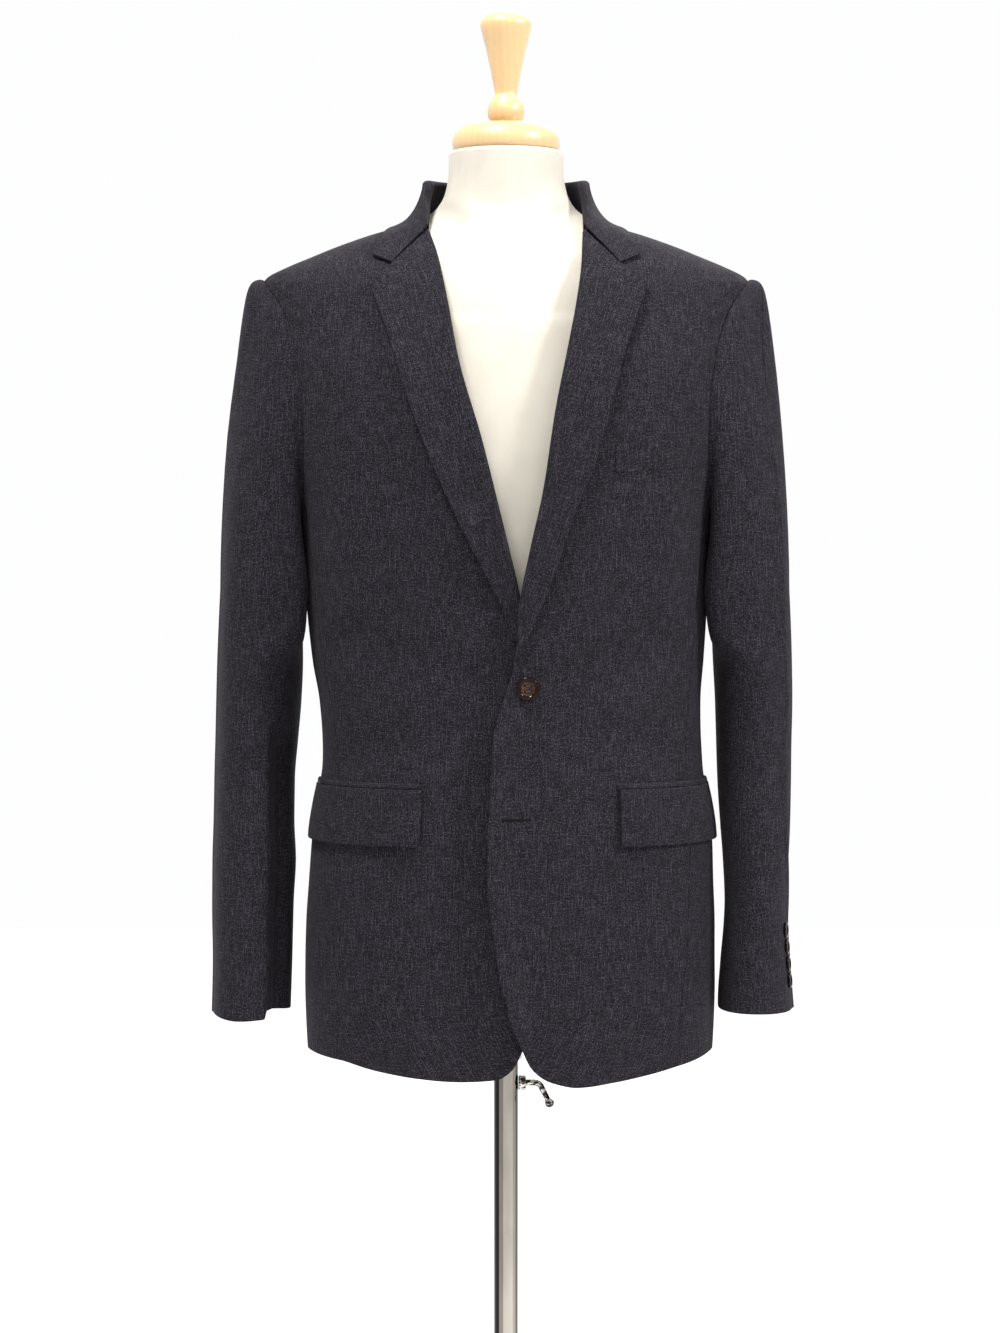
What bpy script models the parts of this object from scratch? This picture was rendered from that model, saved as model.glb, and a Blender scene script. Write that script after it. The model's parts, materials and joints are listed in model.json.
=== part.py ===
"""Single breasted two-button blazer worn by a limbless dress form on a chrome stand.

Metres, +Z up. The front of the blazer faces -Y and the wearer's left is +X. The origin is the
centre of the base plate's underside, on the floor. Heights are measured from the floor.
An angle round the body is 0 at the centre front, 90 at the wearer's left side, 180 at the back.
"""
import math
from bisect import bisect_right

import bmesh
import bpy
from mathutils import Vector

# Cloth and seams
CLOTH = 0.0020
LAPEL_CLOTH = 0.0018
PIPING_CLOTH = 0.0012
SEAM = 0.0003
LAY = 0.0011            # clearance under a piece that lies on a panel
COLLAR_LAY = 0.0007
GORGE_GAP = 0.0007       # between the lapel's top edge and the collar
UP = Vector((0.0, 0.0, 1.0))

# Blazer
HEM = 0.712
FRONT_SIDE_HEM = {1: 0.7035, -1: 0.7085}   # hem between front and side: left, right
LEFT_HEM = 0.6906
RIGHT_HEM = 0.6950
COLLAR_JOIN = 1.434
NECK = 1.455
SHOULDER_TIP = 1.394
UNDERARM = 1.170
ARMHOLE_FRONT_SPREAD = 23.0
ARMHOLE_BACK_SPREAD = 21.0
VENT_TOP = 0.840
VENT_UNDERLAP = 9.0
BUTTON_HEIGHT = 1.0355
BUTTON_X = 0.0189
BUTTON_SPACING = 0.113
LOWER_BUTTON_X = 0.0125
BUTTON_RADIUS = 0.0103
CUFF_BUTTON_RADIUS = 0.0070
CUFF_BUTTON_TURN = {"left": 17.0, "right": -34.0}
CUFF_BUTTON_SEAT = {"left": 0.0007, "right": 0.0001}
CUFF_BUTTON_COUNT = 4
CUFF_BUTTON_PITCH = 0.0150
CUFF_BUTTON_FIRST = 0.772
LEFT_LAP_LIFT = 0.0016
RIGHT_LAP_LIFT = -0.0046

# Sleeves
SLEEVE_TOP = 1.120      # where the sleeve head has become a tube
CUFF = 0.742
SLEEVE_SEAM_GAP = 0.0005

# Pockets
FLAP_TOP = 0.9467
FLAP_HEIGHT = 0.049
FLAP_LENGTH = 0.150
FLAP_CORNER = 0.0055
LEFT_FLAP_X = 0.098
RIGHT_FLAP_X = -0.0722
JET_HEIGHT = 0.005
WELT_INNER_X = 0.094
WELT_OUTER_X = 0.166
WELT_HEIGHT = 0.025
WELT_BASE = 1.221
WELT_RISE = 0.006

# Dress form and stand
FORM_BASE = 0.725
NECK_TOP = 1.511
FORM_CLEARANCE = 0.0016
CAP_RADIUS = 0.0482
PLATE_RADIUS = 0.060
TUBE_RADIUS = 0.0110
TUBE_BORE = 0.0098
TUBE_TOP = 0.695
ROD_RADIUS = 0.0093
ROD_BASE = 0.330
BASE_RADIUS = 0.170
BASE_THICKNESS = 0.009
HUB_RADIUS = 0.026
HUB_TOP = 0.016
CLAMP_HEIGHT = 0.6735
NUT_BORE = 0.0042
NUT_RADIUS = 0.0073
NUT_LENGTH = 0.0067
LEVER_RADIUS = 0.0028

FINISHES = {
    "wool": ((0.052, 0.047, 0.053), 0.88, 0.0),
    "horn": ((0.105, 0.050, 0.022), 0.30, 0.0),
    "jersey": ((0.80, 0.76, 0.66), 0.85, 0.0),
    "honey_wood": ((0.72, 0.42, 0.16), 0.30, 0.0),
    "chrome": ((0.82, 0.83, 0.85), 0.12, 1.0),
}


class Table:
    """Sizes in rows, read between the rows on a smooth curve that never overshoots them."""

    def __init__(self, names, rows):
        self.keys = [row[0] for row in rows]
        self.columns = {}
        for place, name in enumerate(names[1:], 1):
            values = [row[place] for row in rows]
            self.columns[name] = (values, even_slopes(self.keys, values))

    def at(self, key, name):
        keys = self.keys
        values, slopes = self.columns[name]
        key = min(max(key, keys[0]), keys[-1])
        low = min(bisect_right(keys, key), len(keys) - 1) - 1
        span = keys[low + 1] - keys[low]
        t = (key - keys[low]) / span
        start = values[low] * (1 + 2 * t) * (1 - t) ** 2 + slopes[low] * span * t * (1 - t) ** 2
        end = values[low + 1] * t * t * (3 - 2 * t) - slopes[low + 1] * span * t * t * (1 - t)
        return start + end


def even_slopes(keys, values):
    """Slope at each row: the harmonic mean of its two spans, or none at a turning point."""
    rises = [(b - a) / (q - p) for a, b, p, q in zip(values, values[1:], keys, keys[1:])]
    slopes = [rises[0]]
    for before, after in zip(rises, rises[1:]):
        slopes.append(0.0 if before * after <= 0 else 2 * before * after / (before + after))
    slopes.append(rises[-1])
    return slopes


def smooth(value):
    value = min(max(value, 0.0), 1.0)
    return value * value * (3 - 2 * value)


def blend(start, end, share):
    return start + (end - start) * share


def power(value, exponent):
    return math.copysign(abs(value) ** exponent, value)


# ---------------------------------------------------------------- body of the blazer

BODY = Table(("height", "half_width", "front", "back", "square", "centre"), [
    (0.690, 0.1850, 0.137, 0.130, 2.5, 0.0036),
    (0.790, 0.1843, 0.134, 0.131, 2.5, 0.0036),
    (0.822, 0.1838, 0.133, 0.131, 2.5, 0.0040),
    (0.860, 0.1818, 0.131, 0.128, 2.5, 0.0046),
    (0.895, 0.1800, 0.130, 0.123, 2.5, 0.0054),
    (0.930, 0.1757, 0.128, 0.116, 2.5, 0.0058),
    (0.965, 0.1706, 0.126, 0.108, 2.5, 0.0058),
    (0.990, 0.1700, 0.125, 0.104, 2.5, 0.0050),
    (1.020, 0.1710, 0.125, 0.102, 2.5, 0.0036),
    (1.056, 0.1755, 0.127, 0.104, 2.4, 0.0018),
    (1.120, 0.1808, 0.131, 0.112, 2.3, 0.0005),
    (1.170, 0.1835, 0.134, 0.118, 2.35, 0.0000),
    (1.240, 0.1950, 0.133, 0.122, 2.4, 0.0000),
    (1.300, 0.2060, 0.127, 0.122, 2.4, 0.0000),
    (1.350, 0.2145, 0.115, 0.118, 2.3, 0.0000),
    (1.375, 0.2175, 0.106, 0.113, 2.2, 0.0000),
    (1.390, 0.2195, 0.099, 0.109, 2.1, 0.0000),
    (1.398, 0.2145, 0.093, 0.106, 2.0, 0.0000),
    (1.407, 0.1975, 0.086, 0.102, 2.0, 0.0000),
    (1.416, 0.1760, 0.078, 0.098, 2.0, 0.0000),
    (1.425, 0.1540, 0.069, 0.093, 2.0, 0.0000),
    (1.435, 0.1260, 0.059, 0.087, 2.0, 0.0000),
    (1.445, 0.0940, 0.049, 0.079, 2.0, 0.0000),
    (1.455, 0.0755, 0.039, 0.069, 2.0, 0.0000),
    (1.461, 0.0640, 0.034, 0.063, 2.0, 0.0000),
])

# Large soft folds of the body: each runs between two places, as a trough (-) or a ridge (+)
BODY_FOLDS = [
    # angle, height, end angle, end height, half width, depth
    (22, 1.040, 58, 1.075, 0.020, -0.0030),
    (22, 1.005, 62, 0.985, 0.018, -0.0022),
    (-12, 1.040, -56, 1.080, 0.020, -0.0028),
    (-12, 1.005, -60, 0.975, 0.018, -0.0024),
    (52, 1.310, 56, 1.120, 0.022, 0.0035),
    (-52, 1.310, -57, 1.110, 0.024, 0.0038),
    (38, 0.880, 44, 0.700, 0.030, -0.0030),
    (-36, 0.870, -42, 0.700, 0.030, -0.0026),
    (135, 1.300, 128, 1.080, 0.026, 0.0036),
    (-135, 1.300, -128, 1.080, 0.026, 0.0036),
    (150, 1.020, 115, 1.045, 0.020, -0.0026),
    (-150, 1.010, -115, 1.040, 0.020, -0.0026),
    (150, 0.860, 146, 0.715, 0.030, -0.0034),
    (-152, 0.860, -147, 0.715, 0.030, -0.0034),
]
FOLD_GIRTH = 0.155      # radius that turns a fold's angle into a length along the cloth


def fold_relief(folds, girth, angle, height):
    """How far the folds move the cloth out at one place."""
    relief = 0.0
    turn = girth * math.pi / 180
    for first, low, last, high, width, depth in folds:
        start = Vector((first * turn, low))
        along = Vector((last * turn, high)) - start
        away = Vector((angle * turn, height)) - start
        share = min(max(away.dot(along) / along.length_squared, 0.0), 1.0)
        distance = (away - along * share).length / width
        if distance < 2.2:
            relief += depth * math.exp(-distance * distance)
    return relief


def ring_radius(angle, height):
    """Distance from the body's axis to a plain squared oval at this height."""
    turn = math.radians(angle)
    depth = BODY.at(height, "front" if math.cos(turn) > 0 else "back")
    square = BODY.at(height, "square")
    side = abs(math.sin(turn)) / BODY.at(height, "half_width")
    fore = abs(math.cos(turn)) / depth
    return (side ** square + fore ** square) ** (-1 / square)


def body_point(angle, height):
    radius = ring_radius(angle, height) + fold_relief(BODY_FOLDS, FOLD_GIRTH, angle, height)
    turn = math.radians(angle)
    centre = BODY.at(height, "centre")
    return Vector((centre + radius * math.sin(turn), -radius * math.cos(turn), height))


def front_angle(x, height):
    """The angle at which the front of the body stands at this x."""
    low, high = -89.9, 89.9
    for _ in range(26):
        middle = (low + high) / 2
        if body_point(middle, height).x < x:
            low = middle
        else:
            high = middle
    return (low + high) / 2


def surface_normal(surface, a, b, step_a=0.3, step_b=0.0012):
    across = surface(a + step_a, b) - surface(a - step_a, b)
    along = surface(a, b + step_b) - surface(a, b - step_b)
    return across.cross(along).normalized()


def body_normal(angle, height):
    return surface_normal(body_point, angle, height)


# ---------------------------------------------------------------- edges and seams

# Free edge of each front up to the break of the lapel, then the roll line, then the neck
LEFT_EDGE = Table(("height", "x"), [
    (0.743, 0.0051), (0.786, -0.0051), (0.833, -0.0124), (0.876, -0.0159), (0.923, -0.0146),
    (0.958, -0.0129), (0.992, -0.0103), (1.022, -0.0034), (1.048, 0.0052), (1.080, 0.0100),
    (1.112, 0.0137), (1.155, 0.0223), (1.206, 0.0335), (1.276, 0.0442), (1.330, 0.0550),
    (1.372, 0.0629), (1.404, 0.0672), (1.434, 0.0690), (1.455, 0.0735),
])
RIGHT_EDGE = Table(("height", "x"), [
    (0.740, 0.0200), (0.786, 0.0290), (0.876, 0.0330), (0.950, 0.0350), (1.030, 0.0360),
    (1.060, 0.0330), (1.082, 0.0250), (1.100, 0.0150), (1.142, 0.0045), (1.181, -0.0051),
    (1.250, -0.0224), (1.319, -0.0424), (1.372, -0.0524), (1.413, -0.0616), (1.434, -0.0685),
    (1.455, -0.0735),
])
# Hem of each front, from the rounded corner's start to the side
LEFT_FRONT_HEM = Table(("share", "x", "height"), [
    (0.00, 0.0051, 0.7430), (0.06, 0.0137, 0.7241), (0.12, 0.0223, 0.7070),
    (0.20, 0.0378, 0.6958), (0.32, 0.0610, LEFT_HEM), (0.60, 0.0960, 0.6940),
    (0.80, 0.1250, 0.6985), (1.00, 0.1500, FRONT_SIDE_HEM[1]),
])
RIGHT_FRONT_HEM = Table(("share", "x", "height"), [
    (0.00, 0.0200, 0.7400), (0.08, 0.0135, 0.7200), (0.16, 0.0045, 0.7045),
    (0.25, -0.0090, 0.6968), (0.36, -0.0380, RIGHT_HEM), (0.60, -0.0780, 0.6975),
    (0.80, -0.1130, 0.7020), (1.00, -0.1420, FRONT_SIDE_HEM[-1]),
])
# Outer edge of each lapel up to its tip, and the height where the tip and the notch lie
LEFT_LAPEL = Table(("height", "x"), [
    (1.062, 0.0125), (1.082, 0.0206), (1.125, 0.0378), (1.181, 0.0568), (1.232, 0.0766),
    (1.267, 0.0870), (1.333, 0.1043), (1.384, 0.1224),
])
RIGHT_LAPEL = Table(("height", "x"), [
    (1.076, 0.0060), (1.108, -0.0051), (1.159, -0.0309), (1.224, -0.0609), (1.289, -0.0854),
    (1.341, -0.1013), (1.384, -0.1172),
])
LAPEL_TIP = 1.384
NOTCH_X = 0.0990
NOTCH_HEIGHT = 1.4036
LEAF_X = 0.1145
LEAF_HEIGHT = 1.4103

# Seams between front, side and back, from the hem to the armhole
SIDE_SEAMS = Table(("height", "front_side", "side_back"), [
    (0.690, 56.0, 74.0), (0.760, 58.0, 83.0), (0.800, 60.0, 91.0), (VENT_TOP, 61.5, 99.0),
    (0.900, 63.0, 106.0), (1.000, 67.0, 108.0), (1.100, 71.0, 107.0), (1.210, 74.0, 106.0),
])


def armhole_share(height):
    """Part of the armhole's half turn below the shoulder tip, in degrees."""
    middle = (SHOULDER_TIP + UNDERARM) / 2
    reach = (SHOULDER_TIP - UNDERARM) / 2
    return math.degrees(math.acos(min(max((height - middle) / reach, -1.0), 1.0)))


def armhole_angle(height, spread):
    return 90.0 - spread * math.sin(math.radians(armhole_share(height)))


def armhole_place(turn, outset=0.0):
    """Angle and height on the armhole at a turn: 0 is the shoulder tip, 90 the front."""
    spread = ARMHOLE_FRONT_SPREAD if math.sin(math.radians(turn)) > 0 else ARMHOLE_BACK_SPREAD
    angle = 90.0 - spread * math.sin(math.radians(turn))
    middle = (SHOULDER_TIP + UNDERARM) / 2
    reach = (SHOULDER_TIP - UNDERARM) / 2 - outset
    return angle, middle + reach * math.cos(math.radians(turn))


def seam_turn(height):
    """Half of the seam gap, as an angle round the body."""
    return math.degrees(SEAM / 2 / ring_radius(60.0, height))


def armhole_meets(seam_column, spread):
    """Height at which a side seam runs into the armhole."""
    low, high = UNDERARM, (SHOULDER_TIP + UNDERARM) / 2
    for _ in range(30):
        middle = (low + high) / 2
        seam = SIDE_SEAMS.at(middle, seam_column)
        from_side = abs(90.0 - seam)
        if abs(90.0 - armhole_angle(middle, spread)) < from_side:
            low = middle
        else:
            high = middle
    return (low + high) / 2


FRONT_MEETS = armhole_meets("front_side", ARMHOLE_FRONT_SPREAD)
BACK_MEETS = armhole_meets("side_back", ARMHOLE_BACK_SPREAD)


def front_outer_angle(height):
    if height >= SHOULDER_TIP:
        return 90.0 - seam_turn(height)
    if height > FRONT_MEETS:
        return armhole_angle(height, ARMHOLE_FRONT_SPREAD)
    return SIDE_SEAMS.at(height, "front_side") - seam_turn(height)


def back_outer_angle(height):
    if height >= SHOULDER_TIP:
        return 90.0 + seam_turn(height)
    if height > BACK_MEETS:
        return 180.0 - armhole_angle(height, ARMHOLE_BACK_SPREAD)
    underlap = VENT_UNDERLAP * smooth((VENT_TOP - height) / 0.04)
    return SIDE_SEAMS.at(height, "side_back") + seam_turn(height) - underlap


def row_heights(low, high, spacing):
    count = max(1, round((high - low) / spacing))
    return [blend(low, high, k / count) for k in range(count + 1)]


# Rows that all the body panels share, so that their seams run side by side
SKIRT_ROWS = [0.765, 0.800, 0.840, 0.876, 0.912, 0.948, 0.984, 1.020, 1.058, 1.098, 1.140]
SHOULDER_ROWS = [1.3944, 1.399, 1.408, 1.417, 1.426, 1.435, 1.445, 1.4549]
# Turns round the armhole at which the sleeve's columns and the panels' rows meet
FORE_SEAM = 182.0
HIND_SEAM_TOP = 8.0
TOP_TURNS = [HIND_SEAM_TOP + (FORE_SEAM - HIND_SEAM_TOP) * k / 9 for k in range(10)]
UNDER_TURNS = [FORE_SEAM + (360.0 - FORE_SEAM) * k / 9 for k in range(10)] + [360.0 + HIND_SEAM_TOP]


def panel_rows(meets, turns):
    """Level rows above the hem: up the skirt, past the side seam's top and over the shoulder."""
    rows = SKIRT_ROWS + [blend(SKIRT_ROWS[-1], meets, 0.5), meets]
    meeting = [armhole_place(turn)[1] for turn in turns if turn != 360.0]
    rows += sorted(height for height in meeting if height > meets + 0.008)
    return rows + SHOULDER_ROWS


# ---------------------------------------------------------------- building the solids

def finish_material(name):
    material = bpy.data.materials.get(name)
    if material is None:
        colour, roughness, metallic = FINISHES[name]
        material = bpy.data.materials.new(name)
        material.use_nodes = True
        shader = material.node_tree.nodes["Principled BSDF"]
        shader.inputs["Base Color"].default_value = (*colour, 1.0)
        shader.inputs["Roughness"].default_value = roughness
        shader.inputs["Metallic"].default_value = metallic
    return material


def add_object(name, data, finish, collection="blazer_on_dress_form"):
    thing = bpy.data.objects.new(name, data)
    bpy.data.collections[collection].objects.link(thing)
    if finish:
        data.materials.append(finish_material(finish))
    return thing


def add_wall(name, finish, outer, inner):
    """One closed wall of cloth between an outer and an inner grid of points."""
    rows, columns = len(outer), len(outer[0])
    shape = bmesh.new()
    skins = [[[shape.verts.new(point) for point in row] for row in grid] for grid in (outer, inner)]
    for skin in skins:
        for r in range(rows - 1):
            for c in range(columns - 1):
                shape.faces.new((skin[r][c], skin[r][c + 1], skin[r + 1][c + 1], skin[r + 1][c]))
    rim = [(0, c) for c in range(columns)]
    rim += [(r, columns - 1) for r in range(1, rows)]
    rim += [(rows - 1, c) for c in range(columns - 2, -1, -1)]
    rim += [(r, 0) for r in range(rows - 2, 0, -1)]
    for (r, c), (s, d) in zip(rim, rim[1:] + rim[:1]):
        shape.faces.new((skins[0][r][c], skins[1][r][c], skins[1][s][d], skins[0][s][d]))
    bmesh.ops.recalc_face_normals(shape, faces=shape.faces)
    mesh = bpy.data.meshes.new(name)
    shape.to_mesh(mesh)
    shape.free()
    mesh.shade_smooth()
    mesh.set_sharp_from_angle(angle=math.radians(50.0))
    return add_object(name, mesh, finish)


def add_body_piece(name, places, lift=None, cloth=CLOTH, finish="wool"):
    """A wall that follows the body: places are rows of (angle, height), lift moves it out."""
    outer, inner = [], []
    for row in places:
        outer.append([])
        inner.append([])
        for angle, height in row:
            point = body_point(angle, height)
            normal = body_normal(angle, height)
            raised = lift(angle, height) if lift else 0.0
            outer[-1].append(point + normal * raised)
            inner[-1].append(point + normal * (raised - cloth))
    return add_wall(name, finish, outer, inner)


def add_turned(name, finish, profile, steps, closed=False):
    """A profile of (radius, height), top to bottom on its outer side, turned round Z."""
    mesh = bpy.data.meshes.new(name)
    points = [(radius, 0.0, height) for radius, height in profile]
    edges = [(k, k + 1) for k in range(len(points) - 1)]
    if closed:
        edges.append((len(points) - 1, 0))
    mesh.from_pydata(points, edges, [])
    thing = add_object(name, mesh, finish)
    screw = thing.modifiers.new("turn", "SCREW")
    screw.axis = "Z"
    screw.steps = steps
    screw.render_steps = steps
    screw.use_merge_vertices = True
    screw.merge_threshold = 0.00001
    screw.use_smooth_shade = True
    return thing


# ---------------------------------------------------------------- front, side and back panels

def lap_share(x, height, near, far):
    """1 where the fronts lap over each other, fading to 0 across the chest and up the lapel."""
    return smooth((far - x) / (far - near)) * smooth((1.170 - height) / 0.070)


def left_lift(angle, height):
    x = body_point(angle, height).x
    return LEFT_LAP_LIFT * lap_share(x, height, 0.045, 0.095)


def right_lift(angle, height):
    x = body_point(angle, height).x
    return RIGHT_LAP_LIFT * lap_share(-x, height, 0.030, 0.085)


def front_places(side, edge, hem, columns):
    """Rows of places on one front: its hem rounds the corner, then each row is level."""
    corner = edge.keys[0]
    levels = panel_rows(FRONT_MEETS, TOP_TURNS)
    shares = [k / columns for k in range(columns + 1)]
    rows = []
    bottom = []
    for share in shares:
        height = hem.at(share, "height")
        bottom.append((front_angle(hem.at(share, "x"), height), height))
    side_hem = FRONT_SIDE_HEM[side]
    bottom[-1] = (side * front_outer_angle(side_hem), side_hem)
    rows.append(bottom)
    shift_end = 0.12
    first = levels[0]
    starts = []
    for share, (angle, height) in zip(shares, bottom):
        inner = front_angle(edge.at(corner, "x"), corner)
        starts.append((angle - inner) / (side * front_outer_angle(height) - inner))
    halfway = [blend(height, first, 0.5) for _, height in bottom]
    for level_row in [halfway] + [[level] * (columns + 1) for level in levels]:
        row = []
        for level, share, start, (_, height) in zip(level_row, shares, starts, bottom):
            inner = front_angle(edge.at(level, "x"), level)
            outer = side * front_outer_angle(level)
            even = blend(start, share, smooth((level - height) / shift_end))
            row.append((blend(inner, outer, even), level))
        rows.append(row)
    return rows


def build_fronts():
    left = front_places(1, LEFT_EDGE, LEFT_FRONT_HEM, 11)
    right = front_places(-1, RIGHT_EDGE, RIGHT_FRONT_HEM, 11)
    add_body_piece("front_left", left, left_lift)
    add_body_piece("front_right", right, right_lift)


def armhole_bottom(across):
    """Height of the armhole over the side panel, from its front seam (0) to its back seam (1)."""
    angle = blend(SIDE_SEAMS.at(FRONT_MEETS, "front_side"),
                  SIDE_SEAMS.at(BACK_MEETS, "side_back"), across)
    spread = ARMHOLE_FRONT_SPREAD if angle < 90 else ARMHOLE_BACK_SPREAD
    lean = abs(90.0 - angle) / spread
    middle = (SHOULDER_TIP + UNDERARM) / 2
    return middle - (SHOULDER_TIP - UNDERARM) / 2 * math.sqrt(1 - lean * lean)


def side_places(side, columns=4):
    shares = [c / columns for c in range(columns + 1)]
    hem = [blend(FRONT_SIDE_HEM[side], HEM, across) for across in shares]
    tops = [armhole_bottom(across) for across in shares]
    level_rows = [hem, [blend(low, SKIRT_ROWS[0], 0.5) for low in hem]]
    level_rows += [[level] * (columns + 1) for level in SKIRT_ROWS]
    level_rows += [[blend(SKIRT_ROWS[-1], top, 0.5) for top in tops], tops]
    rows = []
    for levels in level_rows:
        row = []
        for across, height in zip(shares, levels):
            front = SIDE_SEAMS.at(height, "front_side") + seam_turn(height)
            back = SIDE_SEAMS.at(height, "side_back") - seam_turn(height)
            row.append((side * blend(front, back, across), height))
        rows.append(row)
    return rows


def build_sides():
    for name, side in (("side_left", 1), ("side_right", -1)):
        add_body_piece(name, side_places(side))


def vent_lift(angle, height):
    """The back's underlap at the side vent lies inside the side panel."""
    inside = smooth((VENT_TOP + 0.072 - height) / 0.072)
    near = smooth((128.0 - abs(angle)) / 22.0)
    return -0.0042 * inside * near


def back_places(side, columns=7):
    levels = [HEM, blend(HEM, SKIRT_ROWS[0], 0.5)] + panel_rows(BACK_MEETS, UNDER_TURNS[:-1])
    rows = []
    for level in levels:
        outer = back_outer_angle(level)
        centre = 180.0 - seam_turn(level)
        rows.append([(side * blend(centre, outer, c / columns), level) for c in range(columns + 1)])
    return rows


def build_backs():
    for name, side in (("back_left", 1), ("back_right", -1)):
        add_body_piece(name, back_places(side), vent_lift)


# ---------------------------------------------------------------- lapels and collar

ROLL = 0.0024           # how far the lapel rolls out at its fold


def lapel_outer_x(side, edge, height):
    if height <= LAPEL_TIP:
        return edge.at(height, "x")
    tip = edge.at(LAPEL_TIP, "x")
    join = side * 0.0700
    notch = side * NOTCH_X
    if height < NOTCH_HEIGHT:
        return blend(tip, notch, (height - LAPEL_TIP) / (NOTCH_HEIGHT - LAPEL_TIP))
    return blend(notch, join, (height - NOTCH_HEIGHT) / (COLLAR_JOIN - NOTCH_HEIGHT))


def build_lapel(name, side, front_edge, edge, front_lift):
    """A folded-back wall from the roll line to the lapel's own edge, with a pointed tip."""
    columns = 5
    low = edge.keys[0]
    heights = row_heights(low, LAPEL_TIP, 0.0235)
    heights += row_heights(LAPEL_TIP, NOTCH_HEIGHT, 0.010)[1:]
    heights += row_heights(NOTCH_HEIGHT, COLLAR_JOIN - GORGE_GAP, 0.010)[1:]
    places, rolls = [], {}
    for height in heights:
        inner_x = front_edge.at(height, "x") - side * 0.0010
        outer_x = lapel_outer_x(side, edge, height)
        row = []
        for c in range(columns + 1):
            angle = front_angle(blend(inner_x, outer_x, c / columns), height)
            rolls[angle, height] = (1 - c / columns) ** 2
            row.append((angle, height))
        places.append(row)

    def lift(angle, height):
        soft = smooth((height - low) / 0.10)
        roll = ROLL * rolls[angle, height] * soft
        return front_lift(angle, height) + LAY + LAPEL_CLOTH + roll

    add_body_piece(name, places, lift, LAPEL_CLOTH)


COLLAR_FOLD = 0.0030    # radius of the fold over the stand
COLLAR_SIDE = 0.25      # part of the half collar in front of the shoulder seam
LEAF_EDGE = Table(("turn", "angle", "height"), [
    (0.00, 61.0, LEAF_HEIGHT), (0.12, 67.0, 1.4260), (0.25, 83.0, 1.4405),
    (0.40, 100.0, 1.4430), (0.70, 140.0, 1.4410), (1.00, 180.0, 1.4390),
])
STAND = Table(("turn", "height", "lean"), [
    (0.00, 0.0020, 0.0000), (0.12, 0.0110, 0.0030), (0.25, 0.0235, 0.0062),
    (0.45, 0.0270, 0.0060), (1.00, 0.0290, 0.0040),
])


def neck_seam(side, turn):
    """Angle and height of the neck seam, from the front join (0) to the centre back (1)."""
    if turn < COLLAR_SIDE:
        height = blend(COLLAR_JOIN, NECK, turn / COLLAR_SIDE)
        return abs(front_angle(side * abs(LEFT_EDGE.at(height, "x")), height)), height
    start = abs(front_angle(side * 0.0735, NECK))
    return blend(start, 180.0, (turn - COLLAR_SIDE) / (1 - COLLAR_SIDE)), NECK


def leaf_place(side, turn, share):
    """Place on the body under the leaf: share 0 is the neck seam, 1 the leaf's edge."""
    seam_angle, seam_height = neck_seam(side, turn)
    edge_angle = LEAF_EDGE.at(turn, "angle")
    if turn == 0.0:
        edge_angle = abs(front_angle(side * LEAF_X, LEAF_HEIGHT))
    edge_height = LEAF_EDGE.at(turn, "height")
    angle = blend(seam_angle, edge_angle, share)
    height = blend(seam_height, edge_height, share)
    notch_share = 0.70
    gorge = smooth(1 - turn / 0.13)
    notch_angle = abs(front_angle(side * NOTCH_X, NOTCH_HEIGHT + GORGE_GAP))
    if share < notch_share:
        part = share / notch_share
        bent = (blend(seam_angle, notch_angle, part), blend(seam_height, NOTCH_HEIGHT + GORGE_GAP, part))
    else:
        part = (share - notch_share) / (1 - notch_share)
        bent = (blend(notch_angle, edge_angle, part), blend(NOTCH_HEIGHT + GORGE_GAP, edge_height, part))
    return blend(angle, bent[0], gorge), blend(height, bent[1], gorge)


def collar_section(side, turn):
    """The visible face of the collar at one turn: up the stand, over the fold, down the leaf."""
    angle, height = neck_seam(side, turn)
    seam = body_point(side * angle, height)
    outward = body_normal(side * angle, height)
    outward = Vector((outward.x, outward.y, 0.0)).normalized()
    stand = STAND.at(turn, "height")
    lean = STAND.at(turn, "lean")
    foot = seam - outward * CLOTH + UP * COLLAR_LAY
    fold = seam + outward * (COLLAR_FOLD - CLOTH - lean) + UP * (stand + COLLAR_LAY)
    top = fold - outward * COLLAR_FOLD
    points = [foot, foot.lerp(top, 0.5), top]
    for bend in (45.0, 90.0, 135.0):
        turn_up = math.radians(bend)
        points.append(fold + (UP * math.sin(turn_up) - outward * math.cos(turn_up)) * COLLAR_FOLD)
    spread = blend(1.0, 1.6, smooth(turn / COLLAR_SIDE))
    for share in (0.18, 0.36, 0.54, 0.70, 0.85, 1.0):
        place_angle, place_height = leaf_place(side, turn, share ** spread)
        base = body_point(side * place_angle, place_height)
        normal = body_normal(side * place_angle, place_height)
        rise = (1 - share) ** 2.8
        fall = UP * (stand * rise) - outward * (lean * rise * 0.6)
        points.append(base + normal * (CLOTH + COLLAR_LAY + 0.0006 * (1 - share)) + fall)
    return points


def grid_normals(points):
    rows, columns = len(points), len(points[0])
    normals = []
    for r in range(rows):
        row = []
        for c in range(columns):
            along = points[min(r + 1, rows - 1)][c] - points[max(r - 1, 0)][c]
            across = points[r][min(c + 1, columns - 1)] - points[r][max(c - 1, 0)]
            row.append(along.cross(across).normalized())
        normals.append(row)
    return normals


def build_collar():
    turns = [0.0, 0.035, 0.08, 0.13, 0.19, 0.25, 0.32, 0.40, 0.52, 0.64, 0.76, 0.88]
    sections = [collar_section(-1, turn) for turn in turns]
    sections.append(collar_section(1, 1.0))
    sections += [collar_section(1, turn) for turn in reversed(turns)]
    normals = grid_normals(sections)
    inner = []
    for points, ways in zip(sections, normals):
        inner.append([point + way * CLOTH for point, way in zip(points, ways)])
    add_wall("collar", "wool", sections, inner)


# ---------------------------------------------------------------- pockets

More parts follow.
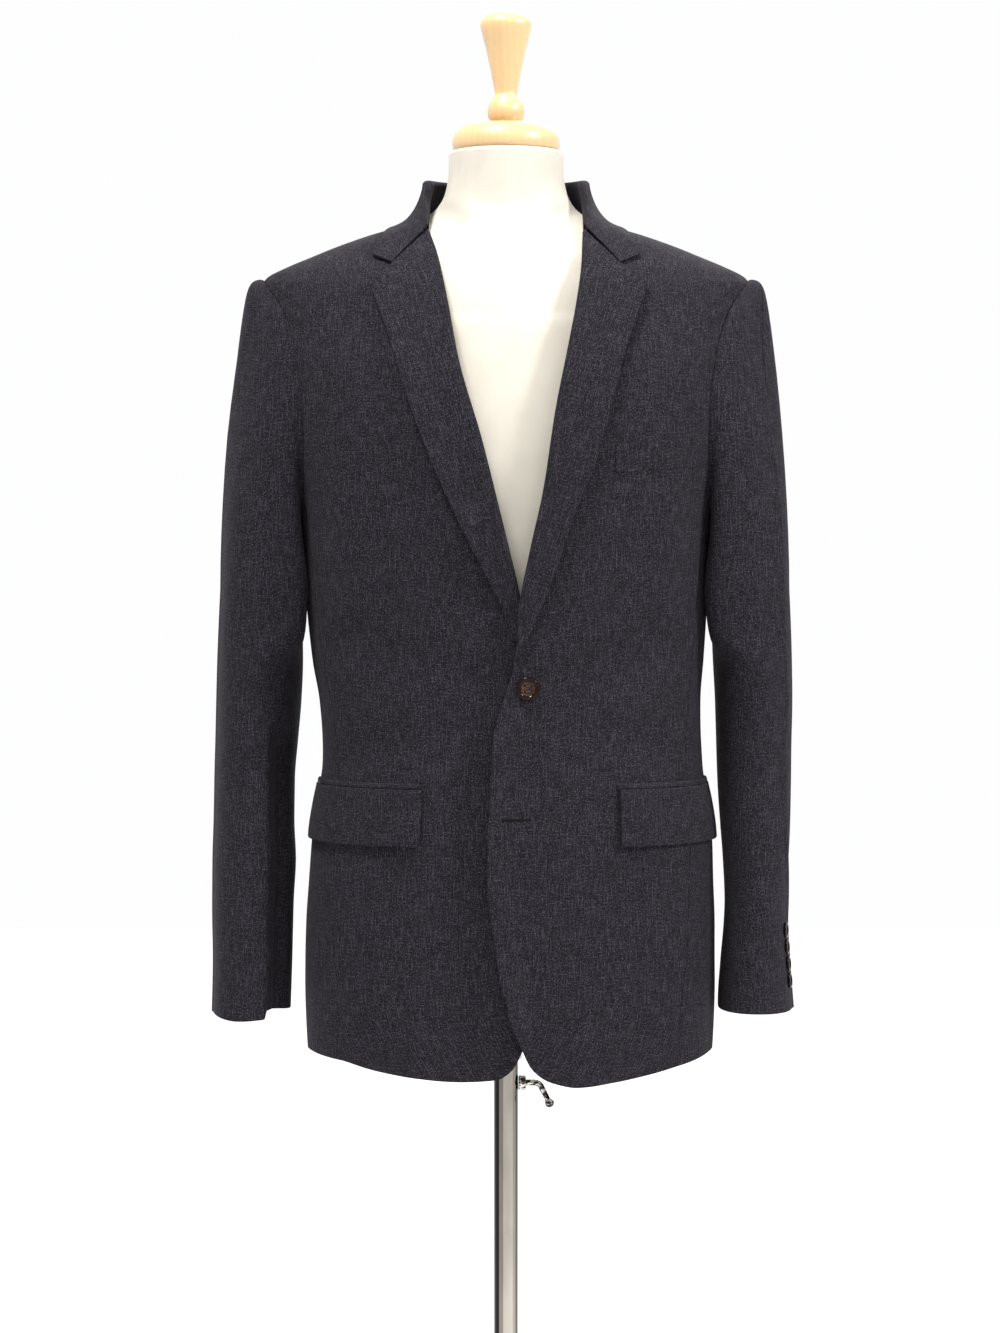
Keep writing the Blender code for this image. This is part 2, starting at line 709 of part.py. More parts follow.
def place_along(x, height, length):
    """The angle reached from a front x by walking this far round the body."""
    side = math.copysign(1.0, length)
    angle = front_angle(x, height)
    left = abs(length)
    point = body_point(angle, height)
    while left > 0:
        angle += side * 0.5
        onward = body_point(angle, height)
        left -= (onward - point).length
        point = onward
    return angle


def build_flap(name, side, x):
    """A pocket flap with rounded corners, hanging a little away from the body."""
    rows = 4
    start = front_angle(x, FLAP_TOP)
    end = place_along(x, FLAP_TOP, side * FLAP_LENGTH)
    near = [FLAP_CORNER / FLAP_LENGTH * part for part in (0.0, 0.14, 0.38, 0.70, 1.0)]
    shares = near + [0.165, 0.335, 0.5, 0.665, 0.835] + [1 - share for share in reversed(near)]
    places = []
    for r in range(rows + 1):
        row = []
        for across in shares:
            from_end = min(across, 1 - across) * FLAP_LENGTH
            inside = max(0.0, FLAP_CORNER - from_end)
            corner = FLAP_CORNER - math.sqrt(FLAP_CORNER ** 2 - inside ** 2)
            bottom = FLAP_TOP - FLAP_HEIGHT + corner
            row.append((blend(start, end, across), blend(bottom, FLAP_TOP, r / rows)))
        places.append(row)

    def lift(angle, height):
        hang = 0.0008 * smooth((FLAP_TOP - height) / FLAP_HEIGHT)
        return CLOTH + LAY + hang + pocket_ground(angle, height)

    add_body_piece(name, places, lift)


def pocket_ground(angle, height):
    return left_lift(angle, height) if angle > 0 else right_lift(angle, height)


def build_jet(name, side, x):
    """The narrow piping above a flap."""
    start = front_angle(x, FLAP_TOP) - side * 0.6
    end = place_along(x, FLAP_TOP, side * FLAP_LENGTH) + side * 0.6
    low = FLAP_TOP + 0.0006
    places = []
    for r in range(2):
        height = low + JET_HEIGHT * r
        places.append([(blend(start, end, c / 9), height) for c in range(10)])
    add_body_piece(name, places, lambda a, z: PIPING_CLOTH + LAY + pocket_ground(a, z), PIPING_CLOTH)


def build_pockets():
    build_flap("pocket_flap_left", 1, LEFT_FLAP_X)
    build_flap("pocket_flap_right", -1, RIGHT_FLAP_X)
    build_jet("pocket_jet_left", 1, LEFT_FLAP_X)
    build_jet("pocket_jet_right", -1, RIGHT_FLAP_X)
    places = []
    for r in range(3):
        row = []
        for c in range(6):
            across = c / 5
            height = WELT_BASE + WELT_RISE * across + WELT_HEIGHT * r / 2
            row.append((front_angle(blend(WELT_INNER_X, WELT_OUTER_X, across), height), height))
        places.append(row)
    add_body_piece("breast_welt", places, lambda a, z: CLOTH + LAY)


# ---------------------------------------------------------------- sleeves

SLEEVES = {
    "left": Table(("height", "outer", "inner", "centre", "half_depth", "square"), [
        (0.735, 0.2570, 0.1900, -0.024, 0.0500, 2.2),
        (0.750, 0.2556, 0.1900, -0.023, 0.0500, 2.2),
        (0.786, 0.2530, 0.1925, -0.019, 0.0510, 2.2),
        (0.822, 0.2512, 0.1960, -0.014, 0.0525, 2.2),
        (0.840, 0.2520, 0.1968, -0.012, 0.0535, 2.2),
        (0.876, 0.2538, 0.1955, -0.007, 0.0555, 2.2),
        (0.912, 0.2556, 0.1930, -0.002, 0.0580, 2.2),
        (0.948, 0.2566, 0.1910, 0.003, 0.0610, 2.2),
        (1.020, 0.2580, 0.1890, 0.008, 0.0660, 2.2),
        (1.056, 0.2574, 0.1870, 0.007, 0.0690, 2.2),
        (SLEEVE_TOP, 0.2545, 0.1845, 0.004, 0.0730, 2.2),
        (1.170, 0.2515, 0.1845, 0.002, 0.0760, 2.2),
    ]),
    "right": Table(("height", "outer", "inner", "centre", "half_depth", "square"), [
        (0.735, 0.2619, 0.1935, -0.024, 0.0500, 2.2),
        (0.786, 0.2610, 0.1920, -0.019, 0.0515, 2.2),
        (0.840, 0.2620, 0.1910, -0.012, 0.0535, 2.2),
        (0.876, 0.2620, 0.1893, -0.007, 0.0555, 2.2),
        (0.912, 0.2612, 0.1910, -0.002, 0.0580, 2.2),
        (0.948, 0.2608, 0.1908, 0.003, 0.0610, 2.2),
        (0.984, 0.2600, 0.1880, 0.006, 0.0640, 2.2),
        (1.020, 0.2592, 0.1850, 0.008, 0.0660, 2.2),
        (1.056, 0.2580, 0.1835, 0.007, 0.0690, 2.2),
        (SLEEVE_TOP, 0.2547, 0.1840, 0.004, 0.0730, 2.2),
        (1.170, 0.2515, 0.1840, 0.002, 0.0760, 2.2),
    ]),
}
HIND_SEAM = {
    "left": Table(("run", "turn"), [
        (0.0, HIND_SEAM_TOP), (0.5, 34.0), (1.0, 34.0), (1.6, 22.0), (2.0, 2.0)]),
    "right": Table(("run", "turn"), [(0.0, HIND_SEAM_TOP), (1.0, 8.0), (2.0, 0.0)]),
}
SLEEVE_FOLDS = {
    "left": [
        # turn, run, end turn, end run, half width, depth
        (60, 1.15, 110, 1.32, 0.022, -0.0030),
        (40, 1.36, 100, 1.44, 0.018, -0.0022),
        (95, 0.62, 75, 1.05, 0.022, -0.0030),
        (-60, 0.50, -75, 1.10, 0.024, -0.0030),
        (-110, 1.25, -40, 1.38, 0.022, -0.0030),
    ],
    "right": [
        (70, 1.20, 118, 1.34, 0.022, -0.0030),
        (50, 1.50, 105, 1.40, 0.018, -0.0022),
        (92, 0.62, 78, 1.05, 0.022, -0.0030),
        (-60, 0.50, -75, 1.10, 0.024, -0.0030),
        (-105, 1.22, -45, 1.34, 0.022, -0.0030),
    ],
}
SLEEVE_GIRTH = 0.050
RUN_LENGTH = 0.36


SLEEVE_TUCK = Table(("height", "curve"), [
    (1.020, 0.0), (1.046, 0.4), (1.056, 1.2), (1.064, 3.2), (1.074, 6.0), (1.090, 7.2),
    (SLEEVE_TOP, 7.6), (1.170, 7.6),
])


def sleeve_ring(hand, turn, height):
    """Point of the hanging sleeve at a height: turn 0 is the outside, 90 the front."""
    table = SLEEVES[hand]
    outer = table.at(height, "outer")
    inner = table.at(height, "inner")
    share = 2 / table.at(height, "square")
    angle = math.radians(turn)
    x = (outer + inner) / 2 + (outer - inner) / 2 * power(math.cos(angle), share)
    forward = table.at(height, "half_depth") * power(math.sin(angle), share)
    if forward > 0:
        x -= SLEEVE_TUCK.at(height, "curve") * forward * forward * (1 - math.cos(angle)) / 2
    return Vector((x, table.at(height, "centre") - forward, height))


def sleeve_form(hand, turn, run):
    """Run 0 to 1 goes from the armhole to a full tube, and 1 to 2 down to the cuff."""
    if run > 1.0:
        return sleeve_ring(hand, turn, blend(SLEEVE_TOP, CUFF, run - 1.0))
    angle, height = armhole_place(turn, SLEEVE_SEAM_GAP)
    start = body_point(angle, height) + Vector((SLEEVE_SEAM_GAP, 0.0, 0.0))
    end = sleeve_ring(hand, turn, SLEEVE_TOP)
    top = (1 + math.cos(math.radians(turn))) / 2
    out = Vector((0.028 + 0.041 * top, 0.0, 0.0))
    down = Vector((0.0, 0.0, -(height - SLEEVE_TOP)))
    t = run
    point = start * ((1 + 2 * t) * (1 - t) ** 2) + end * (t * t * (3 - 2 * t))
    return point + out * (t * (1 - t) ** 2) - down * (t * t * (1 - t))


def sleeve_surface(hand):
    folds = SLEEVE_FOLDS[hand]

    def surface(turn, run):
        way = surface_normal(lambda a, b: sleeve_form(hand, a, b), turn, run, 1.5, 0.004)
        centred = (turn + 180.0) % 360.0 - 180.0
        relief = 0.0
        for first, low, last, high, width, depth in folds:
            fold = (first, low * RUN_LENGTH, last, high * RUN_LENGTH, width, depth)
            relief += fold_relief([fold], SLEEVE_GIRTH, centred, run * RUN_LENGTH)
        return sleeve_form(hand, turn, run) + way * relief

    return surface


def mirrored(point, side):
    return Vector((point.x * side, point.y, point.z))


def sleeve_wall(name, hand, side, first, last, turns):
    """One of the two pieces of a sleeve, between two seams that shift down its length."""
    surface = sleeve_surface(hand)
    runs = [0.0, 0.05, 0.11, 0.19, 0.30, 0.44, 0.62, 0.82]
    runs += [1.0 + k / 12 for k in range(13)]
    outer, inner = [], []
    for run in runs:
        outer.append([])
        inner.append([])
        for place in turns:
            across = (place - turns[0]) / (turns[-1] - turns[0])
            turn = blend(first(run), last(run), across)
            step = 0.004 if run > 0.004 else 0.0008
            point = surface(turn, run)
            normal = surface_normal(surface, turn, max(run, step), 1.0, step)
            outer[-1].append(mirrored(point, side))
            inner[-1].append(mirrored(point - normal * CLOTH, side))
    return add_wall(name, "wool", outer, inner)


def build_sleeves():
    gap = math.degrees(SEAM / 2 / 0.03)
    for hand, side in (("left", 1), ("right", -1)):
        hind = HIND_SEAM[hand]
        sleeve_wall("sleeve_top_" + hand, hand, side,
                    lambda run: hind.at(run, "turn") + gap, lambda run: FORE_SEAM - gap, TOP_TURNS)
        sleeve_wall("sleeve_under_" + hand, hand, side,
                    lambda run: FORE_SEAM + gap, lambda run: 360.0 + hind.at(run, "turn") - gap,
                    UNDER_TURNS)


# ---------------------------------------------------------------- buttons

def button_profile(radius):
    """A round button with a raised rim and a dished middle, seated on its flat back."""
    return [
        (0.0, 0.0020), (radius * 0.55, 0.0020), (radius * 0.72, 0.0031), (radius * 0.88, 0.0034),
        (radius, 0.0024), (radius * 0.96, 0.0008), (radius * 0.70, 0.0), (0.0, 0.0),
    ]


def add_button(name, radius, steps, place, way, holes):
    button = add_turned(name, "horn", button_profile(radius), steps)
    button.location = place
    button.rotation_mode = "QUATERNION"
    button.rotation_quaternion = way.to_track_quat("Z", "Y")
    if holes:
        cut_holes(button, radius)
    return button


def cut_holes(button, radius):
    """Four thread holes through a button."""
    shape = bmesh.new()
    spacing = radius * 0.24
    for x in (-spacing, spacing):
        for y in (-spacing, spacing):
            made = bmesh.ops.create_cone(shape, cap_ends=True, segments=8, depth=0.02,
                                         radius1=0.0011, radius2=0.0011)
            bmesh.ops.translate(shape, verts=made["verts"], vec=(x, y, 0.0))
    mesh = bpy.data.meshes.new(button.name + "_holes")
    shape.to_mesh(mesh)
    shape.free()
    cutter = add_object(button.name + "_holes", mesh, None, "cutters")
    cutter.hide_render = True
    cutter.display_type = "WIRE"
    cutter.location = button.location
    cutter.rotation_mode = "QUATERNION"
    cutter.rotation_quaternion = button.rotation_quaternion
    cut = button.modifiers.new("holes", "BOOLEAN")
    cut.operation = "DIFFERENCE"
    cut.object = cutter


def build_buttons():
    angle = front_angle(BUTTON_X, BUTTON_HEIGHT)
    way = body_normal(angle, BUTTON_HEIGHT)
    lift = left_lift(angle, BUTTON_HEIGHT) + 0.0007
    place = body_point(angle, BUTTON_HEIGHT) + way * lift
    add_button("button_front", BUTTON_RADIUS, 20, place, way, True)
    low = BUTTON_HEIGHT - BUTTON_SPACING
    angle = front_angle(LOWER_BUTTON_X, low)
    way = body_normal(angle, low)
    place = body_point(angle, low) + way * (right_lift(angle, low) + 0.0005)
    plain = [(0.0, 0.0030), (0.0085, 0.0030), (0.0095, 0.0022), (0.0095, 0.0), (0.0, 0.0)]
    button = add_turned("button_lower", "horn", plain, 16)
    button.location = place
    button.rotation_mode = "QUATERNION"
    button.rotation_quaternion = way.to_track_quat("Z", "Y")


def build_cuff_buttons():
    for hand, side in (("left", 1), ("right", -1)):
        surface = sleeve_surface(hand)
        for k in range(CUFF_BUTTON_COUNT):
            height = CUFF_BUTTON_FIRST + CUFF_BUTTON_PITCH * k
            run = 1.0 + (SLEEVE_TOP - height) / (SLEEVE_TOP - CUFF)
            turn = HIND_SEAM[hand].at(run, "turn") + CUFF_BUTTON_TURN[hand]
            way = surface_normal(surface, turn, run, 1.0, 0.004)
            place = surface(turn, run) + way * CUFF_BUTTON_SEAT[hand]
            add_button("cuff_button_%s_%d" % (hand, k + 1), CUFF_BUTTON_RADIUS, 10,
                       mirrored(place, side), mirrored(way, side), False)


# ---------------------------------------------------------------- dress form

FORM = Table(("height", "half_width", "front", "back", "square"), [
    (0.725, 0.150, 0.108, 0.104, 2.3),
    (0.800, 0.158, 0.114, 0.110, 2.3),
    (0.880, 0.155, 0.110, 0.102, 2.3),
    (0.980, 0.145, 0.104, 0.084, 2.3),
    (1.060, 0.151, 0.108, 0.087, 2.3),
    (1.150, 0.162, 0.117, 0.098, 2.3),
    (1.220, 0.168, 0.119, 0.105, 2.3),
    (1.300, 0.174, 0.112, 0.108, 2.3),
    (1.350, 0.184, 0.101, 0.107, 2.2),
    (1.380, 0.190, 0.092, 0.106, 2.1),
    (1.400, 0.190, 0.083, 0.104, 2.0),
    (1.415, 0.178, 0.075, 0.098, 2.0),
    (1.430, 0.146, 0.066, 0.090, 2.0),
    (1.440, 0.118, 0.060, 0.083, 2.0),
    (1.450, 0.086, 0.055, 0.066, 2.0),
    (1.460, 0.062, 0.0520, 0.056, 2.0),
    (1.475, 0.0540, 0.0515, 0.0525, 2.0),
    (1.490, 0.0515, 0.0513, 0.0513, 2.0),
    (NECK_TOP, 0.0513, 0.0513, 0.0513, 2.0),
])


def form_radius(angle, height):
    """The form's own oval, kept a little inside the cloth where it carries the shoulders."""
    turn = math.radians(angle)
    depth = FORM.at(height, "front" if math.cos(turn) > 0 else "back")
    square = FORM.at(height, "square")
    side = abs(math.sin(turn)) / FORM.at(height, "half_width")
    fore = abs(math.cos(turn)) / depth
    own = (side ** square + fore ** square) ** (-1 / square)
    if height < 1.20 or height > NECK + 0.004:
        return own
    step = 0.002
    slope = (ring_radius(angle, height + step) - ring_radius(angle, height - step)) / (2 * step)
    inset = (CLOTH + FORM_CLEARANCE) * math.sqrt(1 + slope * slope)
    limit = ring_radius(angle, height) - inset
    open_to = abs(front_angle(LEFT_EDGE.at(height, "x"), height)) - 26.0
    covered = smooth((abs((angle + 180) % 360 - 180) - open_to) / 12.0)
    return own - covered * max(0.0, own - limit)


def build_form():
    heights = row_heights(FORM_BASE + 0.012, 1.34, 0.062)
    heights += [1.368, 1.387, 1.399, 1.409, 1.419, 1.429, 1.439, 1.448, 1.4545, 1.461, 1.474]
    heights += [1.490, NECK_TOP - 0.003]
    steps = 28
    shape = bmesh.new()
    rings = []
    for height, shrink in [(FORM_BASE, 0.93)] + [(z, 1.0) for z in heights] + [(NECK_TOP, 0.94)]:
        ring = []
        for k in range(steps):
            angle = 360.0 * k / steps
            radius = form_radius(angle, height) * shrink
            turn = math.radians(angle)
            ring.append(shape.verts.new((radius * math.sin(turn), -radius * math.cos(turn), height)))
        rings.append(ring)
    for low, high in zip(rings, rings[1:]):
        for k in range(steps):
            after = (k + 1) % steps
            shape.faces.new((low[k], low[after], high[after], high[k]))
    shape.faces.new(rings[0])
    shape.faces.new(rings[-1])
    bmesh.ops.recalc_face_normals(shape, faces=shape.faces)
    mesh = bpy.data.meshes.new("form_torso")
    shape.to_mesh(mesh)
    shape.free()
    mesh.shade_smooth()
    add_object("form_torso", mesh, "jersey")


def build_finial():
    base = NECK_TOP + SEAM
    cap = [
        (0.0, 1.5345), (0.0345, 1.5345), (0.0400, 1.5320), (0.0455, 1.5265),
        (CAP_RADIUS, 1.5210), (CAP_RADIUS, 1.5160), (0.0465, base), (0.0, base),
    ]
    add_turned("form_cap", "honey_wood", cap, 28)
    foot = 1.5345 + SEAM
    ball_centre, ball_radius = 1.5470, 0.0167
    profile = [(0.0, 1.6368), (0.0050, 1.6364), (0.0130, 1.6345), (0.0205, 1.6300),
               (0.0232, 1.6245), (0.0224, 1.6190), (0.0180, 1.6030), (0.0135, 1.5820),
               (0.0100, 1.5640)]
    for k in range(7):
        angle = math.radians(54.0 - 17.0 * k)
        profile.append((ball_radius * math.cos(angle), ball_centre + ball_radius * math.sin(angle) * 0.80))
    profile += [(0.0118, foot), (0.0, foot)]
    add_turned("form_finial", "honey_wood", profile, 20)


# ---------------------------------------------------------------- stand

def build_stand():
    top = FORM_BASE - SEAM
    boss = TUBE_TOP + SEAM
    bore = TUBE_BORE
    plate = [
        (PLATE_RADIUS, top), (PLATE_RADIUS, top - 0.004), (0.0180, top - 0.007),
        (0.0150, boss + 0.002), (0.0140, boss), (bore, boss), (bore, top),
    ]
    add_turned("form_plate", "chrome", plate, 24, closed=True)
    rod = [(0.0, top), (ROD_RADIUS, top), (ROD_RADIUS, ROD_BASE), (0.0, ROD_BASE)]
    add_turned("stand_rod", "chrome", rod, 24)
    foot = HUB_TOP + SEAM
    tube = [(TUBE_RADIUS, TUBE_TOP), (TUBE_RADIUS, foot), (TUBE_BORE, foot), (TUBE_BORE, TUBE_TOP)]
    add_turned("stand_tube", "chrome", tube, 24, closed=True)
    base = [
        (0.0, HUB_TOP), (HUB_RADIUS - 0.004, HUB_TOP), (HUB_RADIUS, HUB_TOP - 0.003),
        (HUB_RADIUS + 0.004, BASE_THICKNESS + 0.0012), (BASE_RADIUS - 0.012, BASE_THICKNESS),
        (BASE_RADIUS - 0.003, BASE_THICKNESS - 0.0025), (BASE_RADIUS, BASE_THICKNESS - 0.006),
        (BASE_RADIUS, 0.0), (0.0, 0.0),
    ]
    add_turned("stand_base", "chrome", base, 48)


def build_clamp():
    start = TUBE_RADIUS + SEAM
    nut = [(NUT_RADIUS, NUT_LENGTH), (NUT_RADIUS, 0.0), (NUT_BORE, 0.0), (NUT_BORE, NUT_LENGTH)]
    piece = add_turned("clamp_nut", "chrome", nut, 6, closed=True)
    piece.location = (start, 0.0, CLAMP_HEIGHT)
    piece.rotation_euler = (0.0, math.radians(90.0), 0.0)
    curve = bpy.data.curves.new("clamp_lever", "CURVE")
    curve.dimensions = "3D"
    curve.bevel_depth = LEVER_RADIUS
    curve.bevel_resolution = 3
    curve.use_fill_caps = True
    reach = [(0.0006, 0.0, 1.0), (0.0150, 0.0, 1.0), (0.0180, -0.0008, 1.0), (0.0203, -0.0028, 1.0)]
    grip = Vector((0.52, 0.0, -0.85)).normalized()
    elbow = Vector((start + 0.0203, 0.0, CLAMP_HEIGHT - 0.0028))
    places = [(Vector((start + x, 0.0, CLAMP_HEIGHT + z)), size) for x, z, size in reach]
    for distance, size in ((0.006, 0.95), (0.011, 0.90), (0.0118, 1.02), (0.0130, 1.28),
                           (0.0148, 1.42), (0.0166, 1.28), (0.0178, 0.95), (0.0184, 0.45)):
        places.append((elbow + grip * distance, size))
    spline = curve.splines.new("POLY")
    spline.points.add(len(places) - 1)
    for point, (place, size) in zip(spline.points, places):
        point.co = (*place, 1.0)
        point.radius = size
    add_object("clamp_lever", curve, "chrome")


def main():
    for thing in list(bpy.data.objects):
        bpy.data.objects.remove(thing)
    for name in ("blazer_on_dress_form", "cutters"):
        bpy.context.scene.collection.children.link(bpy.data.collections.new(name))
    build_fronts()
    build_sides()
    build_backs()
    build_lapel("lapel_left", 1, LEFT_EDGE, LEFT_LAPEL, left_lift)
    build_lapel("lapel_right", -1, RIGHT_EDGE, RIGHT_LAPEL, right_lift)
    build_collar()
    build_pockets()
    build_sleeves()
    build_buttons()
    build_cuff_buttons()
    build_form()
    build_finial()
    build_stand()
    build_clamp()


main()
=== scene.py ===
import json
import math
import bmesh
import bpy
import numpy as np
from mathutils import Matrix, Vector

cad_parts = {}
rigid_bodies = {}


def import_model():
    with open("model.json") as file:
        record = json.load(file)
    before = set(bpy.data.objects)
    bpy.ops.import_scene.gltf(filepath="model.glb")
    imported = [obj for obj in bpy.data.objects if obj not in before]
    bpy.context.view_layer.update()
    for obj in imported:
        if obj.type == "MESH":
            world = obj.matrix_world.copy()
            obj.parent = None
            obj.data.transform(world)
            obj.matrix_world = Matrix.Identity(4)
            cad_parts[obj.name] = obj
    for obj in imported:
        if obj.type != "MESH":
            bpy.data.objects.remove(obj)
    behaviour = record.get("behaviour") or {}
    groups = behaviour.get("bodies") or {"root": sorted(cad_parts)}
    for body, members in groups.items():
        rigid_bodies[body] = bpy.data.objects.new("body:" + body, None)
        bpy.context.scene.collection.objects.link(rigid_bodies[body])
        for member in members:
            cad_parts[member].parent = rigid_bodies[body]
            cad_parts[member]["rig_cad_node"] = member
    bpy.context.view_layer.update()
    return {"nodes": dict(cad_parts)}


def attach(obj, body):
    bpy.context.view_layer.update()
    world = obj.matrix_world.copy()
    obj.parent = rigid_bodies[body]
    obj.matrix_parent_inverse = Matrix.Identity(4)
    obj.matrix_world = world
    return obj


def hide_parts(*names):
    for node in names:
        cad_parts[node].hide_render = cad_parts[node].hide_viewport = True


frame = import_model()
scene = bpy.context.scene
nodes = frame["nodes"]
print("frame loaded:", len(nodes), "nodes")

# camera: at the height of the chest, aimed between chest and waist

cameraSizes = {"place": (0.0, -2.9, 1.15), "aim": (-0.0054, 0.0, 1.05), "lens": 116.0, "sensor": 36.0, "near": 0.05}


def aimed(name, data, place, aim):
    thing = bpy.data.objects.new(name, data)
    scene.collection.objects.link(thing)
    thing.location = place
    thing.rotation_euler = (Vector(aim) - Vector(place)).to_track_quat("-Z", "Y").to_euler()
    return thing


def placeCamera(sizes):
    data = bpy.data.cameras.new("camera")
    data.sensor_fit = "HORIZONTAL"
    data.sensor_width = sizes["sensor"]
    data.lens = sizes["lens"]
    data.clip_start = sizes["near"]
    scene.camera = aimed("camera", data, sizes["place"], sizes["aim"])


placeCamera(cameraSizes)

# shader maths as plain expressions


class Field:
    def __init__(self, paint, socket):
        self.paint = paint
        self.socket = socket


for word, kind in (("add", "ADD"), ("sub", "SUBTRACT"), ("mul", "MULTIPLY"), ("truediv", "DIVIDE"), ("pow", "POWER")):
    setattr(Field, "__%s__" % word, lambda one, other, kind=kind: one.paint.maths(kind, one, other))
    setattr(Field, "__r%s__" % word, lambda one, other, kind=kind: one.paint.maths(kind, other, one))


class Paint:
    def __init__(self, name):
        self.material = bpy.data.materials.new(name)
        self.material.use_nodes = True
        self.tree = self.material.node_tree
        self.tree.nodes.clear()
        self.shader = self.tree.nodes.new("ShaderNodeBsdfPrincipled")
        output = self.tree.nodes.new("ShaderNodeOutputMaterial")
        self.tree.links.new(self.shader.outputs[0], output.inputs["Surface"])

    def node(self, kind, settings, values, out=0):
        made = self.tree.nodes.new(kind)
        for key, value in settings.items():
            if key == "stops":
                ramp = made.color_ramp
                while len(ramp.elements) > 1:
                    ramp.elements.remove(ramp.elements[-1])
                ramp.elements[0].position = value[0][0]
                ramp.elements[0].color = (*value[0][1], 1.0)
                for place, colour in value[1:]:
                    ramp.elements.new(place).color = (*colour, 1.0)
            else:
                setattr(made, key, value)
        for key, value in values.items():
            if isinstance(value, Field):
                self.tree.links.new(value.socket, made.inputs[key])
            else:
                made.inputs[key].default_value = value
        return Field(self, made.outputs[out])

    def maths(self, operation, first, second=0.0):
        return self.node("ShaderNodeMath", {"operation": operation}, {0: first, 1: second})

    def between(self, value, low, high):
        return self.node("ShaderNodeMapRange", {"interpolation_type": "SMOOTHSTEP"},
                         {"Value": value, "From Min": low, "From Max": high})

    def coordinates(self, kind, scale=(1.0, 1.0, 1.0), turn=0.0, shift=(0.0, 0.0, 0.0)):
        source = self.node("ShaderNodeTexCoord", {}, {}, kind)
        return self.node("ShaderNodeMapping", {}, {
            "Vector": source, "Scale": scale, "Rotation": (0.0, 0.0, turn), "Location": shift})

    def parts(self, vector):
        split = self.node("ShaderNodeSeparateXYZ", {}, {"Vector": vector}, "X")
        return [split] + [Field(self, split.socket.node.outputs[axis]) for axis in "YZ"]

    def noise(self, vector, scale, detail=2.0, roughness=0.5):
        return self.node("ShaderNodeTexNoise", {}, {
            "Vector": vector, "Scale": scale, "Detail": detail, "Roughness": roughness}, "Fac")

    def speckle(self, kind, scale, detail=2.0, roughness=0.5, turn=0.0, shift=(0.0, 0.0, 0.0)):
        # noise with its own scale in each direction
        return self.noise(self.coordinates(kind, scale, turn, shift), 1.0, detail, roughness)

    def mix(self, share, first, second):
        first, second = [value if isinstance(value, Field) else (*value, 1.0) for value in (first, second)]
        return self.node("ShaderNodeMix", {"data_type": "RGBA"}, {0: share, 6: first, 7: second}, 2)

    def surface(self, colour=None, roughness=None, fixed=None, bumps=()):
        for name, value in (fixed or {}).items():
            self.shader.inputs[name].default_value = value
        for name, value in (("Base Color", colour), ("Roughness", roughness)):
            if isinstance(value, Field):
                self.tree.links.new(value.socket, self.shader.inputs[name])
            elif value is not None:
                self.shader.inputs[name].default_value = value
        normal = None
        for height, strength, distance in bumps:
            values = {"Height": height, "Strength": strength, "Distance": distance}
            if normal is not None:
                values["Normal"] = normal
            normal = self.node("ShaderNodeBump", {}, values)
        if normal is not None:
            self.tree.links.new(normal.socket, self.shader.inputs["Normal"])
        return self.material


woolSizes = {
    "thread": 0.00062,          # one yarn of the plain weave
    "dark": (0.0042, 0.0036, 0.0050), "light": (0.0860, 0.0785, 0.0965), "warm": (0.0052, 0.0044, 0.0060),
    "slubWide": 0.00130, "slubLong": 0.0100, "slubShift": 8.0,
    "fleck": 760.0, "grain": 2600.0, "cloud": (26.0, 20.0, 1.0),
    # how much of the light yarn each of them brings, upright and level slubs first
    "shares": {"upright": 0.66, "level": 0.44, "slubs": 0.38, "fleck": 0.35, "grain": 0.08},
    "looks": {"Sheen Weight": 0.035, "Sheen Roughness": 0.30, "Sheen Tint": (0.80, 0.76, 0.84, 1.0),
              "Specular IOR Level": 0.06},
}


def slubRun(paint, across, along, sizes):
    # thick places of the yarn; every yarn is shifted by its own amount, so that they don't line up
    aside = across * (1.0 / sizes["slubWide"])
    shift = paint.noise(paint.node("ShaderNodeCombineXYZ", {}, {"X": aside}), 1.0, 1.0, 0.5) * sizes["slubShift"]
    spot = paint.node("ShaderNodeCombineXYZ", {}, {"X": aside, "Y": along * (1.0 / sizes["slubLong"]) + shift})
    return paint.noise(spot, 1.0, 2.0, 0.55)


